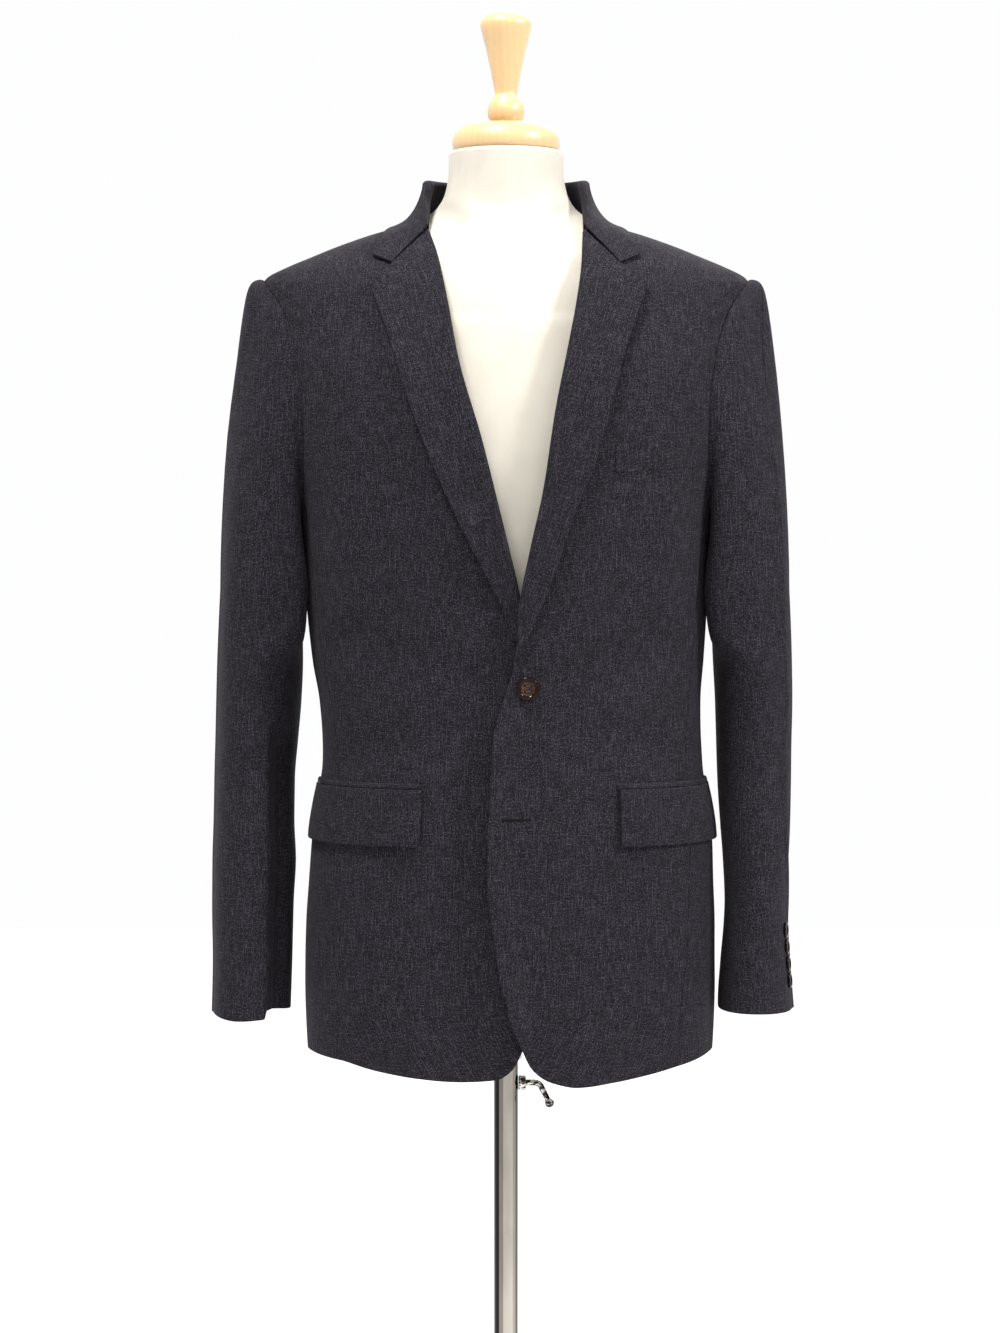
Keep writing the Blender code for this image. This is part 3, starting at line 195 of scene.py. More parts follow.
def woolMaterial(name, sizes):
    paint, shares = Paint(name), sizes["shares"]
    pitch = 1.0 / sizes["thread"]
    across, along, _ = paint.parts(paint.coordinates("UV", (pitch, pitch, 1.0)))
    warpWave, weftWave = [paint.maths("COSINE", way * math.pi) for way in (across, along)]
    over = paint.maths("MINIMUM", paint.maths("MAXIMUM", warpWave * weftWave * 3.0, -1.0), 1.0)
    warp = paint.maths("ABSOLUTE", warpWave) * (over * 0.35 + 0.65)
    weft = paint.maths("ABSOLUTE", weftWave) * (0.65 - over * 0.35)
    weave = paint.maths("MAXIMUM", warp, weft)
    place, rise, _ = paint.parts(paint.coordinates("UV"))
    upright, level = slubRun(paint, place, rise, sizes), slubRun(paint, rise + 3.0, place, sizes)
    fleck = paint.speckle("UV", (sizes["fleck"], sizes["fleck"], 1.0), 1.0, 0.5, 0.0, (7.0, 3.0, 0.0))
    grain = paint.speckle("UV", (sizes["grain"], sizes["grain"], 1.0), 2.0, 0.6)
    cloudy = paint.speckle("UV", sizes["cloud"], 3.0, 0.5)
    slubs = paint.between(upright, 0.49, 0.68) * shares["upright"] + paint.between(level, 0.52, 0.70) * shares["level"]
    light = slubs * shares["slubs"] + paint.between(fleck, 0.52, 0.70) * shares["fleck"]
    light = light + paint.between(grain, 0.44, 0.68) * shares["grain"]
    # the light yarn is dimmed where the weave is low, between the threads: painted shade in the weave's gaps
    light = paint.maths("MINIMUM", light * (cloudy * 0.16 + 0.86) * (weave * 0.45 + 0.62), 1.0)
    colour = paint.mix(light, paint.mix(cloudy, sizes["dark"], sizes["warm"]), sizes["light"])
    return paint.surface(colour, 0.80 + fleck * 0.14, sizes["looks"],
                         [(cloudy, 0.03, 0.0012), (slubs, 0.22, 0.00012), (weave, 0.55, 0.00016)])


jerseySizes = {"rib": 0.0011, "loop": 0.0009, "pale": (0.420, 0.388, 0.330), "paler": (0.455, 0.424, 0.362),
               "paintedHollowShade": (0.32, 0.295, 0.245)}


def jerseyMaterial(sizes):
    paint = Paint("creamJersey")
    across, down, _ = paint.parts(paint.coordinates("UV"))
    ribs = paint.maths("ABSOLUTE", paint.maths("SINE", across * (math.pi / sizes["rib"])))
    loops = paint.maths("ABSOLUTE", paint.maths("SINE", down * (math.pi / sizes["loop"]) + ribs * 1.4))
    knit = ribs * (loops * 0.5 + 0.5)
    cloudy = paint.speckle("UV", (24.0, 24.0, 1.0), 3.0, 0.5)
    fibre = paint.speckle("UV", (900.0, 900.0, 1.0), 2.0, 0.6)
    tone = paint.mix(paint.between(cloudy, 0.3, 0.75), sizes["pale"], sizes["paler"])
    # painted shade darkens the knit's hollows between ribs and loops, with a little random fibre tone on top
    tone = paint.mix((1.0 - knit) * 0.22 + fibre * 0.08, tone, sizes["paintedHollowShade"])
    return paint.surface(tone, 0.78 + fibre * 0.14, {"Sheen Weight": 0.15, "Sheen Roughness": 0.4},
                         [(cloudy, 0.08, 0.001), (knit, 0.35, 0.00018)])


woodSizes = {"heart": (0.061, 0.018, 0.0), "ring": 0.0062, "early": (0.490, 0.318, 0.145),
             "late": (0.410, 0.240, 0.095), "fibre": (0.560, 0.400, 0.210), "pore": (0.300, 0.160, 0.055)}


def woodMaterial(sizes):
    paint = Paint("honeyWood")
    aside, deep, high = paint.parts(paint.coordinates("Object", (1.0, 1.0, 1.0), 0.0, sizes["heart"]))
    warped = paint.speckle("Object", (11.0, 11.0, 2.0), 2.0, 0.5)
    reach = paint.maths("SQRT", aside * aside + deep * deep)
    rings = paint.maths("SINE", (reach + warped * 0.016 + high * 0.03) * (2 * math.pi / sizes["ring"])) * 0.5 + 0.5
    fibre = paint.speckle("Object", (900.0, 900.0, 14.0), 2.0, 0.6)
    pores = paint.between(paint.speckle("Object", (1500.0, 1500.0, 60.0), 1.0), 0.66, 0.80)
    base = paint.mix(rings ** 1.6 * 0.22, sizes["early"], sizes["late"])
    base = paint.mix(fibre * 0.45, base, sizes["fibre"])
    base = paint.mix(pores * 0.20, base, sizes["pore"])
    return paint.surface(base, 0.30 + fibre * 0.10, {
        "Coat Weight": 0.75, "Coat Roughness": 0.07, "Specular IOR Level": 0.45}, [(fibre, 0.10, 0.0002)])


chromeSizes = {
    "pale": (0.360, 0.330, 0.285), "grey": (0.270, 0.245, 0.212), "paintedReflectionBand": (0.008, 0.007, 0.006),
    # painted reflections, dark bands up the tube: where one starts or ends, how dark it is and which side of the place
    # is dark
    "paintedReflections": [(-0.0066, 0.46, "before"), (-0.0029, 0.52, "before"), (0.0058, 0.36, "after"), (0.0083, 0.52, "after")],
    "paintedReflectionSoft": 0.0008, "foot": (0.017, 0.022), "head": (0.6952, 0.6956),
}


def chromeMaterial(sizes):
    paint = Paint("chrome")
    smear = paint.speckle("Object", (40.0, 40.0, 9.0), 3.0, 0.6)
    fine = paint.speckle("Object", (700.0, 700.0, 40.0), 2.0, 0.5)
    tone = paint.mix(paint.between(smear, 0.35, 0.8), sizes["pale"], sizes["grey"])
    across, _, high = paint.parts(paint.coordinates("Object"))
    # dark bands of painted reflection, kept between the foot and the head of the tube
    dark = None
    for place, depth, side in sizes["paintedReflections"]:
        paintedReflectionBand = paint.between(across, place, place + sizes["paintedReflectionSoft"])
        paintedReflectionBand = (1.0 - paintedReflectionBand if side == "before" else paintedReflectionBand) * depth
        dark = paintedReflectionBand if dark is None else dark + paintedReflectionBand
    upright = paint.between(high, *sizes["foot"]) * (1.0 - paint.between(high, *sizes["head"]))
    tone = paint.mix(dark * upright, tone, sizes["paintedReflectionBand"])
    return paint.surface(tone, 0.06 + smear * 0.09 + fine * 0.03, {"Metallic": 1.0}, [(fine, 0.03, 0.0001)])


def clampMaterial():
    paint = Paint("clampChrome")
    paintedReflectionPatches = paint.speckle("Object", (240.0, 240.0, 420.0), 1.0, 0.5)
    fine = paint.speckle("Object", (900.0, 900.0, 900.0), 2.0, 0.5)
    # dark and pale patches of painted reflection over the nut and the lever
    tone = paint.mix(paint.between(paintedReflectionPatches, 0.44, 0.56), (0.030, 0.028, 0.027), (0.420, 0.395, 0.360))
    return paint.surface(tone, 0.07 + fine * 0.06, {"Metallic": 1.0}, [(fine, 0.03, 0.0001)])


def hornMaterial():
    paint = Paint("brownHorn")
    streak = paint.speckle("Object", (150.0, 400.0, 420.0), 4.0, 0.6, 0.5)
    fine = paint.speckle("Object", (1500.0, 1500.0, 1500.0), 2.0, 0.5)
    tone = paint.node("ShaderNodeValToRGB", {"stops": [
        (0.28, (0.004, 0.002, 0.001)), (0.46, (0.022, 0.009, 0.004)),
        (0.60, (0.062, 0.024, 0.010)), (0.78, (0.110, 0.050, 0.022))]}, {"Fac": streak}, "Color")
    return paint.surface(tone, 0.26 + fine * 0.12, {
        "Coat Weight": 0.06, "Coat Roughness": 0.12, "Specular IOR Level": 0.16}, [(fine, 0.06, 0.0001)])


def rimMaterial():
    # dark horn of the button rims, also used for the painted shade in the buttonhole's slit
    paint = Paint("darkHornAndSlitShade")
    streak = paint.speckle("Object", (500.0, 500.0, 500.0), 3.0, 0.6)
    tone = paint.mix(streak, (0.002, 0.001, 0.001), (0.012, 0.005, 0.003))
    return paint.surface(tone, 0.07 + streak * 0.05, {"Specular IOR Level": 0.10})


def threadMaterial(name, low, high, shine=0.3):
    paint = Paint(name)
    twist = paint.speckle("Object", (2600.0, 2600.0, 2600.0), 2.0, 0.6)
    return paint.surface(paint.mix(twist, low, high), 0.62 + twist * 0.2, {"Specular IOR Level": shine},
                         [(twist, 0.4, 0.0001)])


wool = woolMaterial("melangeWool", woolSizes)
jersey = jerseyMaterial(jerseySizes)
wood = woodMaterial(woodSizes)
chrome = chromeMaterial(chromeSizes)
clampChrome = clampMaterial()
horn = hornMaterial()
rim = rimMaterial()
holeThread = threadMaterial("buttonholeThread", (0.0030, 0.0026, 0.0032), (0.0090, 0.0080, 0.0095), 0.03)
sewThread = threadMaterial("buttonThread", (0.020, 0.012, 0.009), (0.070, 0.042, 0.028))
print("materials ready")

# body of the blazer: the same sizes as the solids, in metres; an angle round the body
# is 0 at the centre front, 90 at the wearer's left side and 180 at the back


class Sizes:
    def __init__(self, names, rows):
        table = np.array(rows, float)
        self.keys = table[:, 0]
        self.columns = {}
        for place, name in enumerate(names[1:], 1):
            values = table[:, place]
            rises = np.diff(values) / np.diff(self.keys)
            slopes = np.zeros(len(values))
            slopes[0], slopes[-1] = rises[0], rises[-1]
            before, after = rises[:-1], rises[1:]
            total = np.where(before + after == 0, 1.0, before + after)
            slopes[1:-1] = np.where(before * after <= 0, 0.0, 2 * before * after / total)
            self.columns[name] = (values, slopes)

    def at(self, key, name):
        values, slopes = self.columns[name]
        key = np.clip(key, self.keys[0], self.keys[-1])
        low = np.clip(np.searchsorted(self.keys, key, side="right") - 1, 0, len(self.keys) - 2)
        span = self.keys[low + 1] - self.keys[low]
        t = (key - self.keys[low]) / span
        start = values[low] * (1 + 2 * t) * (1 - t) ** 2 + slopes[low] * span * t * (1 - t) ** 2
        end = values[low + 1] * t * t * (3 - 2 * t) - slopes[low + 1] * span * t * t * (1 - t)
        return start + end


def smooth(value):
    value = np.clip(value, 0.0, 1.0)
    return value * value * (3 - 2 * value)


def blend(start, end, share):
    return start + (end - start) * share


def power(value, exponent):
    return np.sign(value) * np.abs(value) ** exponent


bodySizes = Sizes(("height", "halfWidth", "front", "back", "square", "centre"), [
    (0.690, 0.1850, 0.137, 0.130, 2.5, 0.0036),
    (0.790, 0.1843, 0.134, 0.131, 2.5, 0.0036),
    (0.822, 0.1838, 0.133, 0.131, 2.5, 0.0040),
    (0.860, 0.1818, 0.131, 0.128, 2.5, 0.0046),
    (0.895, 0.1800, 0.130, 0.123, 2.5, 0.0054),
    (0.930, 0.1757, 0.128, 0.116, 2.5, 0.0058),
    (0.965, 0.1706, 0.126, 0.108, 2.5, 0.0058),
    (0.990, 0.1700, 0.125, 0.104, 2.5, 0.0050),
    (1.020, 0.1710, 0.125, 0.102, 2.5, 0.0036),
    (1.056, 0.1755, 0.127, 0.104, 2.4, 0.0018),
    (1.120, 0.1808, 0.131, 0.112, 2.3, 0.0005),
    (1.170, 0.1835, 0.134, 0.118, 2.35, 0.0000),
    (1.240, 0.1950, 0.133, 0.122, 2.4, 0.0000),
    (1.300, 0.2060, 0.127, 0.122, 2.4, 0.0000),
    (1.350, 0.2145, 0.115, 0.118, 2.3, 0.0000),
    (1.375, 0.2175, 0.106, 0.113, 2.2, 0.0000),
    (1.390, 0.2195, 0.099, 0.109, 2.1, 0.0000),
    (1.398, 0.2145, 0.093, 0.106, 2.0, 0.0000),
    (1.407, 0.1975, 0.086, 0.102, 2.0, 0.0000),
    (1.416, 0.1760, 0.078, 0.098, 2.0, 0.0000),
    (1.425, 0.1540, 0.069, 0.093, 2.0, 0.0000),
    (1.435, 0.1260, 0.059, 0.087, 2.0, 0.0000),
    (1.445, 0.0940, 0.049, 0.079, 2.0, 0.0000),
    (1.455, 0.0755, 0.039, 0.069, 2.0, 0.0000),
    (1.461, 0.0640, 0.034, 0.063, 2.0, 0.0000),
])
# creases between two places on the cloth: angle, height, end angle, end height, half width, depth
bodyFolds = [
    (22, 1.040, 58, 1.075, 0.020, -0.0030),
    (22, 1.005, 62, 0.985, 0.018, -0.0022),
    (-12, 1.040, -56, 1.080, 0.020, -0.0028),
    (-12, 1.005, -60, 0.975, 0.018, -0.0024),
    (52, 1.310, 56, 1.120, 0.022, 0.0035),
    (-52, 1.310, -57, 1.110, 0.024, 0.0038),
    (38, 0.880, 44, 0.700, 0.030, -0.0030),
    (-36, 0.870, -42, 0.700, 0.030, -0.0026),
    (135, 1.300, 128, 1.080, 0.026, 0.0036),
    (-135, 1.300, -128, 1.080, 0.026, 0.0036),
    (150, 1.020, 115, 1.045, 0.020, -0.0026),
    (-150, 1.010, -115, 1.040, 0.020, -0.0026),
    (150, 0.860, 146, 0.715, 0.030, -0.0034),
    (-152, 0.860, -147, 0.715, 0.030, -0.0034),
]
# finer creases, which the solids leave out
fineFolds = [
    (30, 1.060, 66, 1.130, 0.007, -0.0007),
    (34, 1.016, 60, 1.020, 0.006, 0.0006),
    (-20, 1.062, -60, 1.125, 0.007, -0.0007),
    (-26, 0.990, -64, 1.012, 0.006, 0.0006),
    (62, 1.180, 67, 1.100, 0.007, -0.0009),
    (-61, 1.190, -66, 1.105, 0.008, -0.0010),
    (100, 1.150, 122, 1.090, 0.008, -0.0009),
    (-100, 1.145, -124, 1.085, 0.008, -0.0009),
    (158, 1.035, 128, 1.062, 0.007, -0.0008),
    (-154, 0.990, -122, 1.000, 0.007, -0.0008),
    (172, 1.395, 150, 1.372, 0.009, 0.0007),
    (-172, 1.392, -148, 1.370, 0.009, 0.0007),
    (48, 0.860, 55, 0.760, 0.010, 0.0008),
    (-50, 0.850, -54, 0.740, 0.010, 0.0008),
    (26, 0.830, 28, 0.730, 0.012, -0.0007),
    (-24, 0.820, -27, 0.720, 0.012, -0.0007),
]
foldGirth = 0.155


def foldRelief(folds, girth, angle, height):
    angle, height = np.broadcast_arrays(angle, height)
    relief = np.zeros(angle.shape)
    turn = girth * math.pi / 180
    for first, low, last, high, width, depth in folds:
        alongX, alongY = (last - first) * turn, high - low
        awayX, awayY = (angle - first) * turn, height - low
        share = np.clip((awayX * alongX + awayY * alongY) / (alongX ** 2 + alongY ** 2), 0.0, 1.0)
        distance = np.hypot(awayX - alongX * share, awayY - alongY * share) / width
        relief += np.where(distance < 2.2, depth * np.exp(-distance * distance), 0.0)
    return relief


def ringRadius(angle, height, table=bodySizes):
    turn = np.radians(angle)
    depth = np.where(np.cos(turn) > 0, table.at(height, "front"), table.at(height, "back"))
    square = table.at(height, "square")
    side = np.abs(np.sin(turn)) / table.at(height, "halfWidth")
    fore = np.abs(np.cos(turn)) / depth
    return (side ** square + fore ** square) ** (-1 / square)


def bodyPoint(angle, height, fine=True):
    angle, height = np.broadcast_arrays(np.asarray(angle, float), np.asarray(height, float))
    relief = foldRelief(bodyFolds, foldGirth, angle, height)
    if fine:
        relief = relief + foldRelief(fineFolds, foldGirth, angle, height)
    radius = ringRadius(angle, height) + relief
    turn = np.radians(angle)
    x = bodySizes.at(height, "centre") + radius * np.sin(turn)
    return np.stack([x, -radius * np.cos(turn), height], axis=-1)


def unit(way):
    return way / np.maximum(np.linalg.norm(way, axis=-1, keepdims=True), 1e-12)


def crossNormal(surface, first, second, firstStep, secondStep):
    across = surface(first + firstStep, second) - surface(first - firstStep, second)
    along = surface(first, second + secondStep) - surface(first, second - secondStep)
    return unit(np.cross(across, along))


def bodyNormal(angle, height, fine=True):
    return crossNormal(lambda a, b: bodyPoint(a, b, fine), angle, height, 0.3, 0.0012)


def frontAngle(x, height):
    x, height = np.broadcast_arrays(np.asarray(x, float), np.asarray(height, float))
    low, high = np.full(x.shape, -89.9), np.full(x.shape, 89.9)
    for _ in range(24):
        middle = (low + high) / 2
        under = bodyPoint(middle, height, False)[..., 0] < x
        low, high = np.where(under, middle, low), np.where(under, high, middle)
    return (low + high) / 2


# a cloth piece from rows of outer points: worn edges are rounded, sewn edges dip into the seam

clothSizes = {
    "wall": 0.0020, "seamDip": 0.0008, "seamWide": 0.0032, "seamGap": 0.0003,
    "innerShift": 0.0021,       # how far the inner side's grain lies from the outer side's
}
allFree = ("free",) * 4
edgeSteps = {
    "free": (0.0, 0.00012, 0.00036, 0.0007, 0.0011, 0.0020),
    "seam": (0.0, 0.0006, 0.0012, 0.0020, 0.0032),
    "plain": (0.0,),
}


def edgeShares(length, steps, first="free", last="free"):
    start = [value / length for value in edgeSteps[first]]
    end = [1 - value / length for value in edgeSteps[last]][::-1]
    inner = np.linspace(start[-1], end[0], max(2, steps))
    return np.array(start[:-1] + list(inner) + end[1:])


def edgeDrop(distance, kind, wall):
    # kind is worn ("free") or sewn ("seam"), or the sewn part of each place, with how strongly it applies
    kind, strength = kind if isinstance(kind, tuple) else (kind, 1.0)
    sewn = {"free": 0.0, "seam": 1.0}[kind] if isinstance(kind, str) else kind
    radius = wall / 2
    inside = np.clip(radius - distance, 0.0, radius)
    worn = radius - np.sqrt(np.maximum(radius ** 2 - inside ** 2, 0.0))
    dip = clothSizes["seamDip"] * np.clip(1 - distance / clothSizes["seamWide"], 0.0, 1.0) ** 2
    return blend(worn, dip, sewn) * strength, blend(worn, 0.0, sewn) * strength


def gridNormals(points):
    return unit(np.cross(np.gradient(points, axis=1), np.gradient(points, axis=0)))


def hangingPlaces(points, anchor):
    # straight grain: one direction runs level over the surface and the other straight up it
    across, down = np.gradient(points, axis=1), np.gradient(points, axis=0)
    normal = unit(np.cross(across, down))
    level = unit(np.cross(normal, np.array([0.0, 0.0, 1.0])))
    level *= np.sign((level * across).sum())
    rise = np.cross(normal, level)
    rise *= np.sign(rise[..., 2].sum())
    spread = []
    for way in (level, rise):
        steps = (np.diff(points, axis=1) * (way[:, 1:] + way[:, :-1]) / 2).sum(axis=-1)
        walked = np.hstack([np.zeros((points.shape[0], 1)), np.cumsum(steps, axis=1)])
        steps = (np.diff(points[:, anchor], axis=0) * (way[1:, anchor] + way[:-1, anchor]) / 2).sum(axis=-1)
        spread.append(walked - walked[:, anchor:anchor + 1] + np.append(0.0, np.cumsum(steps))[:, None])
    return spread


def walkedLength(points, axis=0):
    steps = np.cumsum(np.linalg.norm(np.diff(points, axis=axis), axis=-1), axis=axis)
    return np.concatenate([np.zeros_like(steps.take([0], axis)), steps], axis=axis)


def clothPlaces(points, grain, anchor, turn):
    along, across = walkedLength(points, 0), walkedLength(points, 1)
    middle = points.shape[1] // 2
    if grain == "hanging":
        return (along, across, *hangingPlaces(points, anchor))
    if grain == "height":
        v = np.interp(points[..., 2], points[:, middle, 2], along[:, middle]) + points[0, middle, 2]
    else:
        v = np.repeat(along.mean(axis=1)[:, None], points.shape[1], axis=1)
    lean = np.sign(points[:, -1, 0].mean() - points[:, 0, 0].mean())
    u = across - across[:, anchor:anchor + 1] + lean * points[:, anchor:anchor + 1, 0]
    return along, across, u * math.cos(turn) - v * math.sin(turn), u * math.sin(turn) + v * math.cos(turn)


def makeCloth(name, points, kinds, wall=None, normals=None, grain="height", anchor=0, turn=0.0, material=None):
    # points has rows and columns; kinds are those of the first row, last row, first and last column
    wall = clothSizes["wall"] if wall is None else wall
    rows, columns = points.shape[:2]
    normals = gridNormals(points) if normals is None else normals
    along, across, u, v = clothPlaces(points, grain, anchor, turn)
    far = [along, along[-1:] - along, across, across[:, -1:] - across]
    outerDrop, innerDrop = np.zeros((rows, columns)), np.zeros((rows, columns))
    for distance, kind in zip(far, kinds):
        if isinstance(kind, str) and kind == "plain":
            continue
        out, back = edgeDrop(distance, kind, wall)
        outerDrop, innerDrop = np.maximum(outerDrop, out), np.maximum(innerDrop, back)
    pinch = np.maximum(outerDrop + innerDrop - wall * 0.97, 0.0) / 2
    outer = points - normals * (outerDrop - pinch)[..., None]
    inner = points - normals * (wall - innerDrop + pinch)[..., None]
    shape = bmesh.new()
    spread = shape.loops.layers.uv.new("UVMap")
    skins, places = [], {}
    for grid, shift in ((outer, 0.0), (inner, clothSizes["innerShift"])):
        skins.append([[shape.verts.new(point) for point in line] for line in grid])
        for r, line in enumerate(skins[-1]):
            for c, vertex in enumerate(line):
                places[vertex] = (u[r, c] + shift, v[r, c] + shift)
    for skin in skins:
        for r in range(rows - 1):
            for c in range(columns - 1):
                shape.faces.new((skin[r][c], skin[r][c + 1], skin[r + 1][c + 1], skin[r + 1][c]))
    border = [(0, c) for c in range(columns)] + [(r, columns - 1) for r in range(1, rows)]
    border += [(rows - 1, c) for c in range(columns - 2, -1, -1)] + [(r, 0) for r in range(rows - 2, 0, -1)]
    for (r, c), (s, d) in zip(border, border[1:] + border[:1]):
        shape.faces.new((skins[0][r][c], skins[1][r][c], skins[1][s][d], skins[0][s][d]))
    bmesh.ops.recalc_face_normals(shape, faces=shape.faces)
    for face in shape.faces:
        for loop in face.loops:
            loop[spread].uv = places[loop.vert]
    return finishMesh(name, shape, material or wool)


def finishMesh(name, shape, material, sharp=42.0):
    mesh = bpy.data.meshes.new(name)
    shape.to_mesh(mesh)
    shape.free()
    mesh.shade_smooth()
    mesh.set_sharp_from_angle(angle=math.radians(sharp))
    mesh.materials.append(material)
    piece = bpy.data.objects.new(name, mesh)
    scene.collection.objects.link(piece)
    return piece


def dress(piece, body, node=None, material=None):
    if material:
        piece.data.materials.append(material)
    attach(piece, body)
    if node:
        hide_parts(node)


def declareCloth(piece, node):
    dress(piece, "form", node)


# edges and seams of the panels

leftEdge = Sizes(("height", "x"), [
    (0.743, 0.0051), (0.786, -0.0051), (0.833, -0.0124), (0.876, -0.0159), (0.923, -0.0146),
    (0.958, -0.0129), (0.992, -0.0103), (1.022, -0.0034), (1.048, 0.0052), (1.080, 0.0100),
    (1.112, 0.0137), (1.155, 0.0223), (1.206, 0.0335), (1.276, 0.0442), (1.330, 0.0550),
    (1.372, 0.0629), (1.404, 0.0672), (1.434, 0.0690), (1.455, 0.0735),
])
rightEdge = Sizes(("height", "x"), [
    (0.740, 0.0200), (0.786, 0.0290), (0.876, 0.0330), (0.950, 0.0350), (1.030, 0.0360),
    (1.060, 0.0330), (1.082, 0.0250), (1.100, 0.0150), (1.142, 0.0045), (1.181, -0.0051),
    (1.250, -0.0224), (1.319, -0.0424), (1.372, -0.0524), (1.413, -0.0616), (1.434, -0.0685),
    (1.455, -0.0735),
])
leftHem = Sizes(("share", "x", "height"), [
    (0.00, 0.0051, 0.7430), (0.06, 0.0137, 0.7241), (0.12, 0.0223, 0.7070),
    (0.20, 0.0378, 0.6958), (0.32, 0.0610, 0.6906), (0.60, 0.0960, 0.6940),
    (0.80, 0.1250, 0.6985), (1.00, 0.1500, 0.7035),
])
rightHem = Sizes(("share", "x", "height"), [
    (0.00, 0.0200, 0.7400), (0.08, 0.0135, 0.7200), (0.16, 0.0045, 0.7045),
    (0.25, -0.0090, 0.6968), (0.36, -0.0380, 0.6950), (0.60, -0.0780, 0.6975),
    (0.80, -0.1130, 0.7020), (1.00, -0.1420, 0.7085),
])
leftLapelEdge = Sizes(("height", "x"), [
    (1.062, 0.0125), (1.082, 0.0206), (1.125, 0.0378), (1.181, 0.0568), (1.232, 0.0766),
    (1.267, 0.0870), (1.333, 0.1043), (1.384, 0.1224),
])
rightLapelEdge = Sizes(("height", "x"), [
    (1.076, 0.0060), (1.108, -0.0051), (1.159, -0.0309), (1.224, -0.0609), (1.289, -0.0854),
    (1.341, -0.1013), (1.384, -0.1172),
])
sideSeams = Sizes(("height", "frontSide", "sideBack"), [
    (0.690, 56.0, 74.0), (0.760, 58.0, 83.0), (0.800, 60.0, 91.0), (0.840, 61.5, 99.0),
    (0.900, 63.0, 106.0), (1.000, 67.0, 108.0), (1.100, 71.0, 107.0), (1.210, 74.0, 106.0),
])
bodyEdges = {
    "hem": 0.712, "sideHem": {1: 0.7035, -1: 0.7085}, "shoulderTip": 1.394, "underarm": 1.170,
    "frontSpread": 23.0, "backSpread": 21.0, "ventTop": 0.840, "ventUnderlap": 9.0,
    "collarJoin": 1.434, "neck": 1.455, "neckTop": 1.4549,
}
frontSizes = {
    "leftRise": 0.0016, "rightSink": 0.0054, "lapTop": 1.170, "lapFade": 0.070,
    "leftLap": (0.045, 0.095), "rightLap": (0.030, 0.085),
    # the left front's edge stands off below the button
    "roll": 0.0074, "rollWide": 0.026, "rollTop": 1.030, "rollTopFade": 0.050, "rollFoot": 0.690, "rollFootFade": 0.05,
}
ventSizes = {"sink": 0.0042, "fade": 0.072, "reach": 128.0, "wide": 22.0}
armMiddle = (bodyEdges["shoulderTip"] + bodyEdges["underarm"]) / 2
armReach = (bodyEdges["shoulderTip"] - bodyEdges["underarm"]) / 2


def armholePlace(turn, outset=0.0):
    sine = np.sin(np.radians(turn))
    spread = np.where(sine > 0, bodyEdges["frontSpread"], bodyEdges["backSpread"])
    return 90.0 - spread * sine, armMiddle + (armReach - outset) * np.cos(np.radians(turn))


def armholeAngle(height, spread):
    share = np.clip((height - armMiddle) / armReach, -1.0, 1.0)
    return 90.0 - spread * np.sqrt(1 - share * share)


def armholeMeets(column, spread):
    low, high = bodyEdges["underarm"], armMiddle
    for _ in range(30):
        middle = (low + high) / 2
        if abs(90.0 - armholeAngle(middle, spread)) < abs(90.0 - sideSeams.at(middle, column)):
            low = middle
        else:
            high = middle
    return (low + high) / 2


frontMeets = armholeMeets("frontSide", bodyEdges["frontSpread"])
backMeets = armholeMeets("sideBack", bodyEdges["backSpread"])


def seamTurn(height):
    return np.degrees(clothSizes["seamGap"] / 2 / ringRadius(60.0, height))


def frontOuterAngle(height):
    seam = sideSeams.at(height, "frontSide") - seamTurn(height)
    hole = armholeAngle(height, bodyEdges["frontSpread"])
    over = 90.0 - seamTurn(height)
    return np.where(height >= bodyEdges["shoulderTip"], over, np.where(height > frontMeets, hole, seam))


def backOuterAngle(height):
    under = bodyEdges["ventUnderlap"] * smooth((bodyEdges["ventTop"] - height) / 0.04)
    seam = sideSeams.at(height, "sideBack") + seamTurn(height) - under
    hole = 180.0 - armholeAngle(height, bodyEdges["backSpread"])
    over = 90.0 + seamTurn(height)
    return np.where(height >= bodyEdges["shoulderTip"], over, np.where(height > backMeets, hole, seam))


def panelLevels(meets, spread):
    # heights of the rows from the skirt to the neck, close together where the armhole turns
    skirt = np.linspace(0.765, meets, 46)
    start = math.degrees(math.acos((meets - armMiddle) / armReach))
    arm = armMiddle + armReach * np.cos(np.radians(np.linspace(start, 3.0, 36)))[1:]
    over = np.linspace(bodyEdges["shoulderTip"] + 0.0002, bodyEdges["neckTop"], 27)
    return np.concatenate([skirt, arm, over])


def lapShare(x, height, near, far):
    return smooth((far - x) / (far - near)) * smooth((frontSizes["lapTop"] - height) / frontSizes["lapFade"])


def leftLift(angle, height):
    sizes = frontSizes
    x = bodyPoint(angle, height, False)[..., 0]
    fromEdge = np.clip(x - leftEdge.at(height, "x"), 0.0, 1.0)
    roll = sizes["roll"] * smooth(1 - fromEdge / sizes["rollWide"])
    roll = roll * smooth((sizes["rollTop"] - height) / sizes["rollTopFade"])
    roll = roll * smooth((height - sizes["rollFoot"]) / sizes["rollFootFade"])
    return sizes["leftRise"] * lapShare(x, height, *sizes["leftLap"]) + roll


def rightLift(angle, height):
    across = -bodyPoint(angle, height, False)[..., 0]
    return -frontSizes["rightSink"] * lapShare(across, height, *frontSizes["rightLap"])


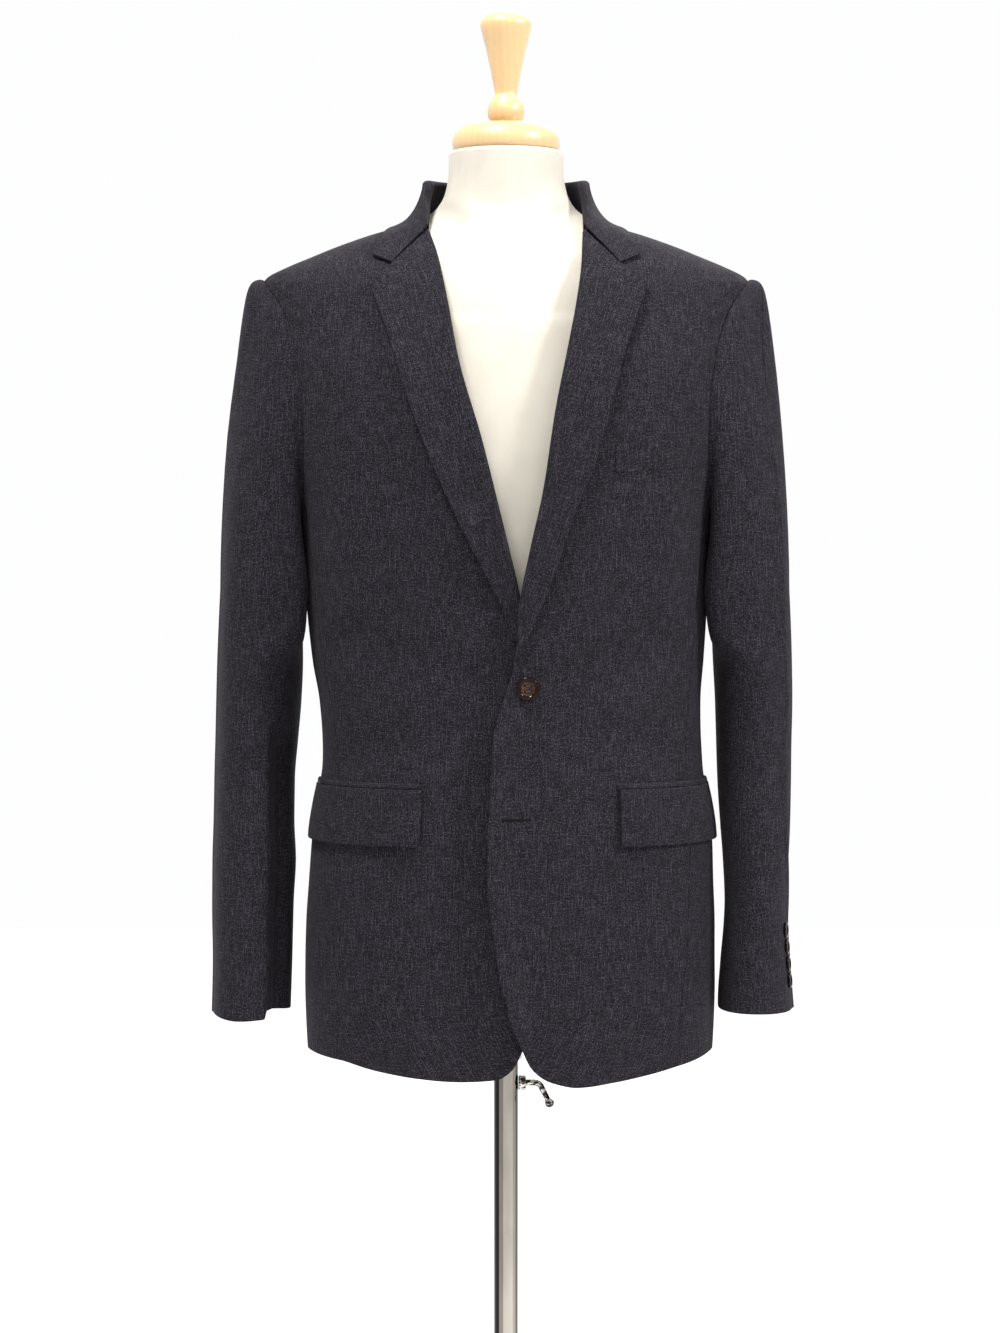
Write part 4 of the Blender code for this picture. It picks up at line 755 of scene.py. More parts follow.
def frontPlaces(side, edge, hem):
    shares = edgeShares(0.22, 50, "free", "seam")
    corner = edge.keys[0]
    levels = panelLevels(frontMeets, bodyEdges["frontSpread"])
    hemHeight = hem.at(shares, "height")
    hemAngle = frontAngle(hem.at(shares, "x"), hemHeight)
    hemHeight[-1] = bodyEdges["sideHem"][side]
    hemAngle[-1] = side * frontOuterAngle(hemHeight[-1])
    tail = shares > 0.985
    hemAngle[tail] = np.interp(shares[tail], [shares[~tail][-1], 1.0], [hemAngle[~tail][-1], hemAngle[-1]])
    inner = float(frontAngle(edge.at(corner, "x"), corner))
    starts = (hemAngle - inner) / (side * frontOuterAngle(hemHeight) - inner)
    angles, heights = [hemAngle], [hemHeight]
    lower = edgeShares(0.06, 8, "free", "plain")[1:]
    for level in [blend(hemHeight, levels[0], t) for t in lower] + [np.full(len(shares), z) for z in levels[1:]]:
        inner = frontAngle(edge.at(level, "x"), level)
        even = blend(starts, shares, smooth((level - hemHeight) / 0.12))
        angles.append(blend(inner, side * frontOuterAngle(level), even))
        heights.append(level)
    return np.array(angles), np.array(heights)


def bodyPiece(name, angles, heights, lift, kinds, wall=None, anchor=0, turn=0.0):
    normals = bodyNormal(angles, heights)
    points = bodyPoint(angles, heights) + normals * np.asarray(lift)[..., None]
    return makeCloth(name, points, kinds, wall, normals, anchor=anchor, turn=turn)


def offArmhole(height, meets):
    # 0 where the edge runs round the armhole, whose seam the sleeve makes
    return 1 - smooth((height - meets + 0.006) / 0.010) * smooth((bodyEdges["shoulderTip"] - height + 0.001) / 0.003)


def makeFronts():
    for name, side, edge, hem, lift, node in (
            ("frontLeft", 1, leftEdge, leftHem, leftLift, "front_left"),
            ("frontRight", -1, rightEdge, rightHem, rightLift, "front_right")):
        angles, heights = frontPlaces(side, edge, hem)
        piece = bodyPiece(name, angles, heights, lift(angles, heights),
                          ("free", "plain", "free", ("seam", offArmhole(heights[:, -1:], frontMeets))))
        declareCloth(piece, node)


def armholeBottom(across):
    angle = blend(sideSeams.at(frontMeets, "frontSide"), sideSeams.at(backMeets, "sideBack"), across)
    spread = np.where(angle < 90, bodyEdges["frontSpread"], bodyEdges["backSpread"])
    lean = np.clip(np.abs(90.0 - angle) / spread, 0.0, 1.0)
    return armMiddle - armReach * np.sqrt(1 - lean * lean)


def makeSides():
    for name, side, node in (("sideLeft", 1, "side_left"), ("sideRight", -1, "side_right")):
        shares = edgeShares(0.11, 22, "seam", "seam")
        hem = blend(bodyEdges["sideHem"][side], bodyEdges["hem"], shares)
        heights = blend(hem, armholeBottom(shares), edgeShares(0.48, 60, "free", "seam")[:, None])
        front = sideSeams.at(heights, "frontSide") + seamTurn(heights)
        back = sideSeams.at(heights, "sideBack") - seamTurn(heights)
        angles = side * blend(front, back, shares)
        piece = bodyPiece(name, angles, heights, np.zeros(angles.shape),
                          ("free", "plain", "seam", "seam"), anchor=angles.shape[1] // 2)
        declareCloth(piece, node)


def ventLift(angle, height):
    inside = smooth((bodyEdges["ventTop"] + ventSizes["fade"] - height) / ventSizes["fade"])
    return -ventSizes["sink"] * inside * smooth((ventSizes["reach"] - np.abs(angle)) / ventSizes["wide"])


def makeBacks():
    for name, side, node in (("backLeft", 1, "back_left"), ("backRight", -1, "back_right")):
        shares = edgeShares(0.20, 34, "seam", "seam")
        levels = panelLevels(backMeets, bodyEdges["backSpread"])
        lower = blend(bodyEdges["hem"], levels[0], edgeShares(0.053, 7, "free", "plain"))
        heights = np.repeat(np.concatenate([lower, levels[1:]])[:, None], len(shares), axis=1)
        angles = side * blend(180.0 - seamTurn(heights), backOuterAngle(heights), shares)
        piece = bodyPiece(name, angles, heights, ventLift(angles, heights),
                          ("free", "plain", "seam", ("seam", offArmhole(heights[:, -1:], backMeets))))
        declareCloth(piece, node)


makeFronts()
makeSides()
makeBacks()
print("body panels ready")

# lapels: each folds over the edge of its front at the roll line and has a pointed tip

lapelSizes = {
    "wall": 0.0018, "lay": 0.0011, "roll": 0.0024, "tip": 1.384, "joinX": 0.0700,
    "notchX": 0.0990, "notchHeight": 1.4036, "gorgeGap": 0.0004, "gorgeSeam": 0.75, "grain": 0.23,
    "stand": 0.0034,
    # the fold: from a narrow one at the foot to the full one, and less of it near the collar
    "curl": (0.0010, 0.0030), "deep": (0.35, 1.0), "under": 0.0022, "shorter": 0.42, "shorterFrom": 1.395,
    "turns": [150, 136, 122, 106, 90, 74, 56, 38, 19],
}


def lapelOuterX(side, edge, height):
    tip = edge.at(lapelSizes["tip"], "x")
    notch, join = side * lapelSizes["notchX"], side * lapelSizes["joinX"]
    toNotch = (height - lapelSizes["tip"]) / (lapelSizes["notchHeight"] - lapelSizes["tip"])
    toJoin = (height - lapelSizes["notchHeight"]) / (bodyEdges["collarJoin"] - lapelSizes["notchHeight"])
    upper = np.where(toJoin < 0, blend(tip, notch, np.clip(toNotch, 0, 1)), blend(notch, join, toJoin))
    return np.where(height <= lapelSizes["tip"], edge.at(height, "x"), upper)


def makeLapel(name, node, side, frontEdge, edge, frontLift):
    sizes = lapelSizes
    low, top = edge.keys[0], bodyEdges["collarJoin"] - sizes["gorgeGap"]
    tip, notch = sizes["tip"], sizes["notchHeight"]
    heights = np.concatenate([
        low + (tip - 0.004 - low) * edgeShares(tip - low, 52, "free", "plain"),
        tip - np.array([0.0024, 0.0012, 0.0005]),
        blend(tip, notch, np.array([0.0, 0.03, 0.08, 0.2, 0.4, 0.6, 0.8, 0.92, 0.97])),
        blend(notch, top, np.array([0.0, 0.02, 0.06, 0.14, 0.26, 0.4, 0.54, 0.68, 0.8, 0.9, 0.96, 1.0]))])
    outerX = lapelOuterX(side, edge, heights)
    width = np.abs(outerX - frontEdge.at(heights, "x"))
    innerX = frontEdge.at(heights, "x") + side * np.minimum(0.0012, width * 0.3)
    width = np.abs(outerX - innerX)
    soft = smooth((heights - low) / 0.10)[:, None]
    near = np.array([0.0, 0.00012, 0.00036, 0.0007, 0.0011, 0.0019, 0.0030])
    ends = 1 - near * np.minimum(1.0, width / 0.0090)[:, None] / width[:, None]
    shares = np.hstack([np.linspace(0.0, 1.0, 17)[None, :-1] * ends[:, -1:], ends[:, ::-1]])
    level = np.repeat(heights[:, None], shares.shape[1], axis=1)
    angles = frontAngle(innerX[:, None] + (outerX - innerX)[:, None] * shares, level)
    normals = bodyNormal(angles, level)
    lift = frontLift(angles, level) + sizes["lay"] + sizes["wall"] + sizes["roll"] * (1 - shares) ** 2 * soft
    # the outer edge stands a little away, so that it casts a line of shadow
    lift = lift + sizes["stand"] * smooth((shares - 0.45) / 0.55) * soft * smooth((notch - level + 0.004) / 0.02)
    flat = bodyPoint(angles, level) + normals * lift[..., None]
    # the fold: from the roll line round the front's edge to its inner side
    first, way = flat[:, 0], normals[:, 0]
    inward = unit(bodyPoint(angles[:, 0] - side * 0.4, heights) - bodyPoint(angles[:, 0], heights))
    grown = smooth((heights - low) / 0.05)
    # 1.87 is what the fold falls by in its whole turn, 1 - cos(150), for a depth of 1
    deep = (lift[:, 0] - frontLift(angles[:, 0], heights) + sizes["under"] * grown) / 1.87
    deep = deep * blend(*sizes["deep"], grown)
    curl = blend(*sizes["curl"], grown)
    reach = 1.0 - sizes["shorter"] * smooth((heights - sizes["shorterFrom"]) / 0.03)
    folded = []
    for turn in np.radians(sizes["turns"]):
        bend = turn * reach
        folded.append(first + inward * (np.sin(bend) * curl)[:, None] - way * ((1 - np.cos(bend)) * deep)[:, None])
    points = np.concatenate([np.stack(folded, axis=1), flat], axis=1)
    gorge = smooth((heights - notch + 0.0006) / 0.0012)[:, None]
    outerEdge = (gorge, 1 - sizes["gorgeSeam"] * gorge)
    lapel = makeCloth(name, points, ("free", "seam", "plain", outerEdge), sizes["wall"],
                      gridNormals(points) * side, turn=sizes["grain"])
    declareCloth(lapel, node)


makeLapel("lapelLeft", "lapel_left", 1, leftEdge, leftLapelEdge, leftLift)
makeLapel("lapelRight", "lapel_right", -1, rightEdge, rightLapelEdge, rightLift)

# collar: up the stand inside the neck, over the fold and down the leaf to both notches

collarSizes = {
    "lay": 0.0007, "fold": 0.0030, "side": 0.25, "leafX": 0.1145, "leafHeight": 1.4103, "notchShare": 0.70,
    "neckX": 0.0735, "gorgeFade": 0.13, "leafPower": 2.8,
    "standShares": (0.0, 0.02, 0.06, 0.14, 0.3, 0.5, 0.7, 0.88),
    "leafShares": (0.10, 0.17, 0.25, 0.34, 0.43, 0.52, 0.60, 0.66, 0.70, 0.74, 0.80, 0.87, 0.92, 0.952, 0.972, 0.984,
                   0.992, 0.9972, 1.0),
    "endTurns": [0.0, 0.0006, 0.0018, 0.0036, 0.006, 0.010, 0.018],
}
leafEdge = Sizes(("turn", "angle", "height"), [
    (0.00, 61.0, 1.4103), (0.12, 67.0, 1.4260), (0.25, 83.0, 1.4405),
    (0.40, 100.0, 1.4430), (0.70, 140.0, 1.4410), (1.00, 180.0, 1.4390),
])
standSizes = Sizes(("turn", "height", "lean"), [
    (0.00, 0.0020, 0.0000), (0.12, 0.0110, 0.0030), (0.25, 0.0235, 0.0062),
    (0.45, 0.0270, 0.0060), (1.00, 0.0290, 0.0040),
])


def neckSeam(side, turn):
    part = turn / collarSizes["side"]
    height = np.where(part < 1, blend(bodyEdges["collarJoin"], bodyEdges["neck"], part), bodyEdges["neck"])
    front = np.abs(frontAngle(side * np.abs(leftEdge.at(height, "x")), height))
    start = float(np.abs(frontAngle(side * collarSizes["neckX"], bodyEdges["neck"])))
    back = blend(start, 180.0, (turn - collarSizes["side"]) / (1 - collarSizes["side"]))
    return np.where(part < 1, front, back), height


def leafPlace(side, turn, share):
    seamAngle, seamHeight = neckSeam(side, turn)
    gap = lapelSizes["notchHeight"] + lapelSizes["gorgeGap"]
    corner = float(np.abs(frontAngle(side * collarSizes["leafX"], collarSizes["leafHeight"])))
    notchAngle = float(np.abs(frontAngle(side * lapelSizes["notchX"], gap)))
    edgeAngle = leafEdge.at(turn, "angle") + (corner - leafEdge.at(0.0, "angle")) * np.clip(1 - turn / 0.02, 0, 1)
    edgeHeight = leafEdge.at(turn, "height")
    angle, height = blend(seamAngle, edgeAngle, share), blend(seamHeight, edgeHeight, share)
    part = share / collarSizes["notchShare"]
    rest = (share - collarSizes["notchShare"]) / (1 - collarSizes["notchShare"])
    bentAngle = np.where(part < 1, blend(seamAngle, notchAngle, part), blend(notchAngle, edgeAngle, rest))
    bentHeight = np.where(part < 1, blend(seamHeight, gap, part), blend(gap, edgeHeight, rest))
    gorge = smooth(1 - turn / collarSizes["gorgeFade"])
    return blend(angle, bentAngle, gorge), blend(height, bentHeight, gorge)


def collarHalf(side, turns):
    up = np.array([0.0, 0.0, 1.0])
    wall, sizes = clothSizes["wall"], collarSizes
    angle, height = neckSeam(side, turns)
    seam = bodyPoint(side * angle, height)
    outward = bodyNormal(side * angle, height)
    outward[:, 2] = 0.0
    outward = unit(outward)
    stand, lean = standSizes.at(turns, "height")[:, None], standSizes.at(turns, "lean")[:, None]
    foot = seam - outward * 2 * wall + up * sizes["lay"]
    fold = seam + outward * (sizes["fold"] - wall - lean) + up * (stand + sizes["lay"])
    radius = sizes["fold"] + wall
    top = fold - outward * radius
    points = [blend(foot, top, part) for part in sizes["standShares"]]
    for bend in range(0, 160, 14):
        turn = math.radians(bend)
        points.append(fold + (up * math.sin(turn) - outward * math.cos(turn)) * radius)
    spread = blend(1.0, 1.6, smooth(turns / sizes["side"]))
    for share in sizes["leafShares"]:
        placeAngle, placeHeight = leafPlace(side, turns, share ** spread)
        base = bodyPoint(side * placeAngle, placeHeight)
        normal = bodyNormal(side * placeAngle, placeHeight)
        rise = (1 - share) ** sizes["leafPower"]
        lift = 0.0029 + 0.0006 * (1 - share) + 0.0018 * (1 - share) ** 3
        lift = lift + ((0.0012 - 0.0022 * smooth((turns - 0.10) / 0.10)) * smooth((share - 0.5) / 0.5))[:, None]
        points.append(base + normal * lift + up * (stand * rise) - outward * (lean * rise * 0.6))
    return np.stack(points, axis=1)


def makeCollar():
    turns = np.concatenate([collarSizes["endTurns"], np.linspace(0.030, 0.25, 20), np.linspace(0.27, 0.975, 34)])
    right = collarHalf(-1, np.append(turns, 1.0))
    left = collarHalf(1, turns)[::-1]
    points = np.concatenate([right, left], axis=0)
    columns = points.shape[1]
    gorge = (np.arange(columns) < columns - 11).astype(float)[None, :]
    flat = (gorge, 1 - lapelSizes["gorgeSeam"] * gorge)
    collar = makeCloth("collarCloth", points, (flat, flat, "seam", "free"), None, -gridNormals(points),
                       grain="length", anchor=columns // 2)
    declareCloth(collar, "collar")


makeCollar()
print("lapels and collar ready")

# sleeves: two pieces each, from the armhole to the cuff; turn 0 is the outside and 90 the front,
# run 0 to 1 goes from the armhole to a full tube and 1 to 2 down to the cuff

sleeveSizes = {
    "tube": 1.120, "cuff": 0.742, "gap": 0.0002, "sink": 0.0022, "swell": 0.0060, "rise": 0.0004, "overTip": 0.0024,
    "onTip": 0.0009, "foreSeam": 182.0, "girth": 0.050, "runLength": 0.36, "square": 2.2,
    # how far the hem hangs down and where it is turned up, as shares of the forearm
    "hang": {"left": 0.0, "right": 0.008}, "turnUp": {"left": 0.0095, "right": 0.0},
    "step": {"left": 0.0, "right": 0.019},
    # along the hind seam: height of the top sleeve's edge and depth of the under sleeve's, width and power
    "raised": (0.0026, 0.07, 1.6), "lowered": (0.0020, 0.12, 1.2),
    "headRuns": [0.0, 0.004, 0.010, 0.018, 0.030, 0.045, 0.065, 0.09, 0.12, 0.15, 0.19, 0.24, 0.30, 0.37, 0.44,
                 0.52, 0.60, 0.68, 0.76, 0.84, 0.92],
    "left": Sizes(("height", "outer", "inner", "centre", "halfDepth"), [
        (0.735, 0.2570, 0.1900, -0.024, 0.0500), (0.750, 0.2556, 0.1900, -0.023, 0.0500),
        (0.786, 0.2530, 0.1925, -0.019, 0.0510), (0.822, 0.2512, 0.1960, -0.014, 0.0525),
        (0.840, 0.2520, 0.1968, -0.012, 0.0535), (0.876, 0.2538, 0.1955, -0.007, 0.0555),
        (0.912, 0.2556, 0.1930, -0.002, 0.0580), (0.948, 0.2566, 0.1910, 0.003, 0.0610),
        (1.020, 0.2580, 0.1890, 0.008, 0.0660), (1.056, 0.2574, 0.1870, 0.007, 0.0690),
        (1.120, 0.2545, 0.1845, 0.004, 0.0730), (1.170, 0.2515, 0.1845, 0.002, 0.0760)]),
    "right": Sizes(("height", "outer", "inner", "centre", "halfDepth"), [
        (0.735, 0.2619, 0.1935, -0.024, 0.0500), (0.786, 0.2610, 0.1920, -0.019, 0.0515),
        (0.840, 0.2620, 0.1910, -0.012, 0.0535), (0.876, 0.2620, 0.1893, -0.007, 0.0555),
        (0.912, 0.2612, 0.1910, -0.002, 0.0580), (0.948, 0.2608, 0.1908, 0.003, 0.0610),
        (0.984, 0.2600, 0.1880, 0.006, 0.0640), (1.020, 0.2592, 0.1850, 0.008, 0.0660),
        (1.056, 0.2580, 0.1835, 0.007, 0.0690), (1.120, 0.2547, 0.1840, 0.004, 0.0730),
        (1.170, 0.2515, 0.1840, 0.002, 0.0760)]),
    "leftHind": Sizes(("run", "turn"), [
        (0.0, 8.0), (0.5, 34.0), (1.0, 38.0), (1.5, 43.0), (1.78, 13.0), (2.0, 2.0)]),
    "rightHind": Sizes(("run", "turn"), [(0.0, 8.0), (1.0, 8.0), (2.0, 0.0)]),
    "tuck": Sizes(("height", "curve"), [
        (1.020, 0.0), (1.046, 0.4), (1.056, 1.2), (1.064, 3.2), (1.074, 6.0), (1.090, 7.2), (1.120, 7.6),
        (1.170, 7.6)]),
    # turn, run, end turn, end run, half width, depth
    "leftFolds": [
        (60, 1.15, 110, 1.32, 0.022, -0.0030), (40, 1.36, 100, 1.44, 0.018, -0.0022),
        (95, 0.62, 75, 1.05, 0.022, -0.0030), (-60, 0.50, -75, 1.10, 0.024, -0.0030),
        (-110, 1.25, -40, 1.38, 0.022, -0.0030), (70, 1.24, 116, 1.38, 0.008, 0.0008),
        (84, 0.80, 66, 1.16, 0.009, 0.0009), (105, 1.05, 60, 1.20, 0.009, -0.0009),
        (-70, 1.34, -116, 1.42, 0.009, 0.0009), (110, 1.62, 70, 1.80, 0.012, 0.0008)],
    "rightFolds": [
        (70, 1.20, 118, 1.34, 0.022, -0.0030), (50, 1.50, 105, 1.40, 0.018, -0.0022),
        (92, 0.62, 78, 1.05, 0.022, -0.0030), (-60, 0.50, -75, 1.10, 0.024, -0.0030),
        (-105, 1.22, -45, 1.34, 0.022, -0.0030), (60, 1.30, 112, 1.42, 0.008, 0.0008),
        (88, 0.76, 70, 1.12, 0.009, 0.0010), (112, 1.02, 66, 1.14, 0.009, -0.0009),
        (-64, 1.28, -112, 1.38, 0.009, 0.0009), (70, 1.62, 108, 1.84, 0.012, 0.0008),
        (111, 1.35, 111, 2.1, 0.0055, 0.0020), (141, 1.38, 141, 2.1, 0.0140, -0.0074)],
}


def sleeveRing(hand, turn, height):
    table = sleeveSizes[hand]
    outer, inner = table.at(height, "outer"), table.at(height, "inner")
    angle = np.radians(turn)
    x = (outer + inner) / 2 + (outer - inner) / 2 * power(np.cos(angle), 2 / sleeveSizes["square"])
    forward = table.at(height, "halfDepth") * power(np.sin(angle), 2 / sleeveSizes["square"])
    tuck = sleeveSizes["tuck"].at(height, "curve") * forward ** 2 * (1 - np.cos(angle)) / 2
    x = x - np.where(forward > 0, tuck, 0.0)
    return np.stack([x, table.at(height, "centre") - forward, height + 0 * x], axis=-1)


def sleeveForm(hand, turn, run):
    turn, run = np.broadcast_arrays(np.asarray(turn, float), np.asarray(run, float))
    sizes = sleeveSizes
    tube = sleeveRing(hand, turn, blend(sizes["tube"], sizes["cuff"], np.maximum(run - 1.0, 0.0)))
    angle, height = armholePlace(turn, sizes["gap"])
    nearTip = smooth(1.1 - np.abs(height - bodyEdges["shoulderTip"]) / 0.012)
    # at the shoulder tip the sleeve's edge lies over the panels, elsewhere it is sunk into the seam
    place = height + sizes["overTip"] * nearTip
    sunk = blend(sizes["sink"], -sizes["onTip"], nearTip)
    start = bodyPoint(angle, place, False) - bodyNormal(angle, place, False) * sunk[..., None]
    end = sleeveRing(hand, turn, np.full(turn.shape, sizes["tube"]))
    t = np.minimum(run, 1.0)[..., None]
    head = start * ((1 + 2 * t) * (1 - t) ** 2) + end * (t * t * (3 - 2 * t))
    head[..., 0] += (0.028 + 0.041 * (1 + np.cos(np.radians(turn))) / 2) * t[..., 0] * (1 - t[..., 0]) ** 2
    head[..., 2] += (height - sizes["tube"]) * t[..., 0] ** 2 * (1 - t[..., 0])
    # the head is eased in: it swells out just past the shoulder seam
    swell = smooth((np.cos(np.radians(turn)) - 0.1) / 0.8)
    head[..., 0] += sizes["swell"] * swell * t[..., 0] / 0.1 * np.exp(1 - t[..., 0] / 0.1)
    head[..., 2] += sizes["rise"] * swell * t[..., 0] / 0.04 * np.exp(1 - t[..., 0] / 0.04)
    return np.where(run[..., None] > 1.0, tube, head)


def sleeveSurface(hand):
    sizes = sleeveSizes
    folds = [(first, low * sizes["runLength"], last, high * sizes["runLength"], width, depth)
             for first, low, last, high, width, depth in sizes[hand + "Folds"]]

    def surface(turn, run):
        turn, run = np.broadcast_arrays(np.asarray(turn, float), np.asarray(run, float))
        way = crossNormal(lambda a, b: sleeveForm(hand, a, b), turn, run, 1.5, 0.004)
        centred = (turn + 180.0) % 360.0 - 180.0
        relief = foldRelief(folds, sizes["girth"], centred, run * sizes["runLength"])
        return sleeveForm(hand, turn, run) + way * relief[..., None]

    return surface


def sleeveWall(name, node, hand, side, first, last, ridge):
    surface, sizes = sleeveSurface(hand), sleeveSizes
    runs = np.concatenate([sizes["headRuns"], 1.0 + edgeShares(0.378, 52, "plain", "free")])
    shares = edgeShares(0.17, 46, "seam", "seam")
    start, end = first(runs)[:, None], last(runs)[:, None]
    turns = start + (end - start) * shares[None, :]
    level = np.repeat(runs[:, None], len(shares), axis=1)
    step = np.where(level > 0.004, 0.004, 0.0008)
    hang = sizes["hang"][hand] * np.exp(-((turns - 75.0) / 42.0) ** 2) - sizes["turnUp"][hand]
    hang = hang - sizes["step"][hand] * smooth((turns - 112.0) / 3.0) * (1 - smooth((turns - 115.0) / 110.0))
    level = level + hang * smooth((level - 1.75) / 0.25)
    points = surface(turns, level)
    normals = crossNormal(surface, turns, np.maximum(level, step), 1.0, step)
    lift = ridge(shares[None, :], level)
    points = points + normals * lift[..., None]
    points[..., 0] *= side
    normals[..., 0] *= side
    sleeve = makeCloth(name, points, ("seam", "free", "seam", "seam"), None, normals,
                       grain="hanging", anchor=len(shares) // 2)
    declareCloth(sleeve, node)


def makeSleeves():
    gap = math.degrees(clothSizes["seamGap"] / 2 / 0.03)
    fore = sleeveSizes["foreSeam"]

    # the hind seam is pressed towards the top sleeve, which stands a little higher there
    def raised(share, run):
        high, wide, steep = sleeveSizes["raised"]
        return high * np.clip(1 - share / wide, 0, 1) ** steep * smooth((run - 0.35) / 0.3)

    def lowered(share, run):
        deep, wide, steep = sleeveSizes["lowered"]
        return -deep * np.clip((share - 1 + wide) / wide, 0, 1) ** steep * smooth((run - 0.35) / 0.3)

    for hand, side in (("left", 1), ("right", -1)):
        hind = sleeveSizes[hand + "Hind"]
        sleeveWall("sleeveTop" + hand.title(), "sleeve_top_" + hand, hand, side,
                   lambda run: hind.at(run, "turn") + gap, lambda run: np.full(run.shape, fore - gap),
                   raised)
        sleeveWall("sleeveUnder" + hand.title(), "sleeve_under_" + hand, hand, side,
                   lambda run: np.full(run.shape, fore + gap), lambda run: 360.0 + hind.at(run, "turn") - gap,
                   lowered)


makeSleeves()
print("sleeves ready")

# pockets: flaps under narrow jets at the hips, and a flat welt on the chest

pocketSizes = {
    "top": 0.9467, "height": 0.049, "length": 0.150, "corner": 0.0055, "leftX": 0.098, "rightX": -0.0722,
    "jet": 0.0050, "jetWall": 0.0012, "lay": 0.0011,
    "weltInner": 0.094, "weltOuter": 0.166, "weltHeight": 0.025, "weltBase": 1.221, "weltRise": 0.006,
}


def placeAlong(x, height, length):
    side = 1.0 if length > 0 else -1.0
    start = float(frontAngle(x, height))
    angles = start + side * np.arange(0, 90, 0.25)
    points = bodyPoint(angles, height, False)
    return float(np.interp(abs(length), walkedLength(points), angles))


def pocketGround(side, angle, height):
    return leftLift(angle, height) if side > 0 else rightLift(angle, height)


def makeFlap(name, node, side, x):
    sizes = pocketSizes
    start = float(frontAngle(x, sizes["top"]))
    end = placeAlong(x, sizes["top"], side * sizes["length"])
    near = np.array([0.0, 0.0002, 0.0005, 0.0010, 0.0017, 0.0026, 0.0038, 0.0055]) / sizes["length"]
    shares = np.concatenate([near, np.linspace(near[-1], 1 - near[-1], 34)[1:-1], 1 - near[::-1]])
    fromEnd = np.minimum(shares, 1 - shares) * sizes["length"]
    inside = np.maximum(0.0, sizes["corner"] - fromEnd)
    corner = sizes["corner"] - np.sqrt(np.maximum(sizes["corner"] ** 2 - inside ** 2, 0.0))
    rows = edgeShares(sizes["height"], 12, "free", "free")[:, None]
    angles = np.repeat(blend(start, end, shares)[None, :], len(rows), axis=0)
    heights = blend(sizes["top"] - sizes["height"] + corner[None, :], sizes["top"] + 0.0004, rows)
    down = smooth((sizes["top"] - heights) / sizes["height"])
    wave = np.sin(shares * 7.0 + side)[None, :] * 0.0003 + np.sin(shares * 15.0 + 2 * side)[None, :] * 0.00012
    belly = np.sin(np.pi * np.clip((sizes["top"] - heights) / sizes["height"], 0, 1)) * 0.0006
    lift = clothSizes["wall"] + sizes["lay"] + (0.0010 + wave) * down + belly + pocketGround(side, angles, heights)
    flap = bodyPiece(name, angles, heights, lift, allFree)
    declareCloth(flap, node)


def makeJet(name, node, side, x):
    sizes = pocketSizes
    start = float(frontAngle(x, sizes["top"])) - side * 0.6
    end = placeAlong(x, sizes["top"], side * sizes["length"]) + side * 0.1
    shares = edgeShares(0.154, 34, "free", "free")
    rows = np.linspace(0, 1, 11)[:, None]
    angles = np.repeat(blend(start, end, shares)[None, :], len(rows), axis=0)
    heights = sizes["top"] - 0.0001 + (sizes["jet"] + 0.0007) * np.repeat(rows, len(shares), axis=1)
    rounded = np.sqrt(np.maximum(1 - (2 * rows - 1) ** 2, 0.0))
    ends = np.minimum(1.0, np.minimum(shares, 1 - shares) / 0.012)[None, :]
    lift = sizes["jetWall"] + sizes["lay"] - 0.0013 + 0.0016 * rounded * ends + pocketGround(side, angles, heights)
    jet = bodyPiece(name, angles, heights, lift, allFree, sizes["jetWall"], turn=0.03)
    declareCloth(jet, node)


def makeWelt():
    sizes = pocketSizes
    shares = edgeShares(0.083, 22, "free", "free")[None, :]
    rows = edgeShares(sizes["weltHeight"], 8, "free", "free")[:, None]
    heights = sizes["weltBase"] + sizes["weltRise"] * shares + sizes["weltHeight"] * rows
    x = blend(sizes["weltInner"], sizes["weltOuter"], shares) + 0 * heights
    angles = frontAngle(x, heights)
    lift = clothSizes["wall"] + sizes["lay"] - 0.0022 + 0.0003 * np.sin(np.pi * rows) + 0 * heights
    welt = bodyPiece("breastWelt", angles, heights, lift, allFree, 0.0014, turn=-0.06)
    declareCloth(welt, "breast_welt")


makeFlap("flapLeft", "pocket_flap_left", 1, pocketSizes["leftX"])
makeFlap("flapRight", "pocket_flap_right", -1, pocketSizes["rightX"])
makeJet("jetLeft", "pocket_jet_left", 1, pocketSizes["leftX"])
makeJet("jetRight", "pocket_jet_right", -1, pocketSizes["rightX"])
makeWelt()
print("pockets ready")

# buttons: a dished disc with a thick dark rim; the front one has four holes and its thread

buttonSizes = {
    "height": 1.0355, "x": 0.0189, "radius": 0.0103, "cuffRadius": 0.0070, "cuffCount": 4, "cuffPitch": 0.0150,
    "cuffFirst": 0.772, "cuffTurn": {"left": 17.0, "right": -34.0},
    "seat": 0.0007, "cuffSeat": 0.0001, "cuffThick": 0.64, "cuffRimFrom": 0.3,
    "hole": 0.0011, "spacing": 0.24, "slitX": (-0.0026, 0.0206), "slitHeight": 0.9218, "slitWide": 0.00060,
    "slitOver": 0.00012, "barThick": (0.00080, 0.00036),
    # part of the radius and height over the cloth, from the middle of the face to the back
    "profile": [(0.04, 0.0019), (0.50, 0.0019), (0.60, 0.0022), (0.66, 0.0029), (0.73, 0.0035), (0.81, 0.0038),
                (0.90, 0.0036), (0.96, 0.0031), (1.00, 0.0023), (1.00, 0.0016), (0.96, 0.0009), (0.86, 0.0003),
                (0.70, 0.0001), (0.04, 0.0001)],
    "rimFrom": 0.62,
}


def choose(pieces):
    bpy.ops.object.select_all(action="DESELECT")
    for piece in pieces:
        piece.select_set(True)
    bpy.context.view_layer.objects.active = pieces[0]


def settle(piece):
    choose([piece])
    bpy.ops.object.transform_apply(location=True, rotation=True, scale=True)


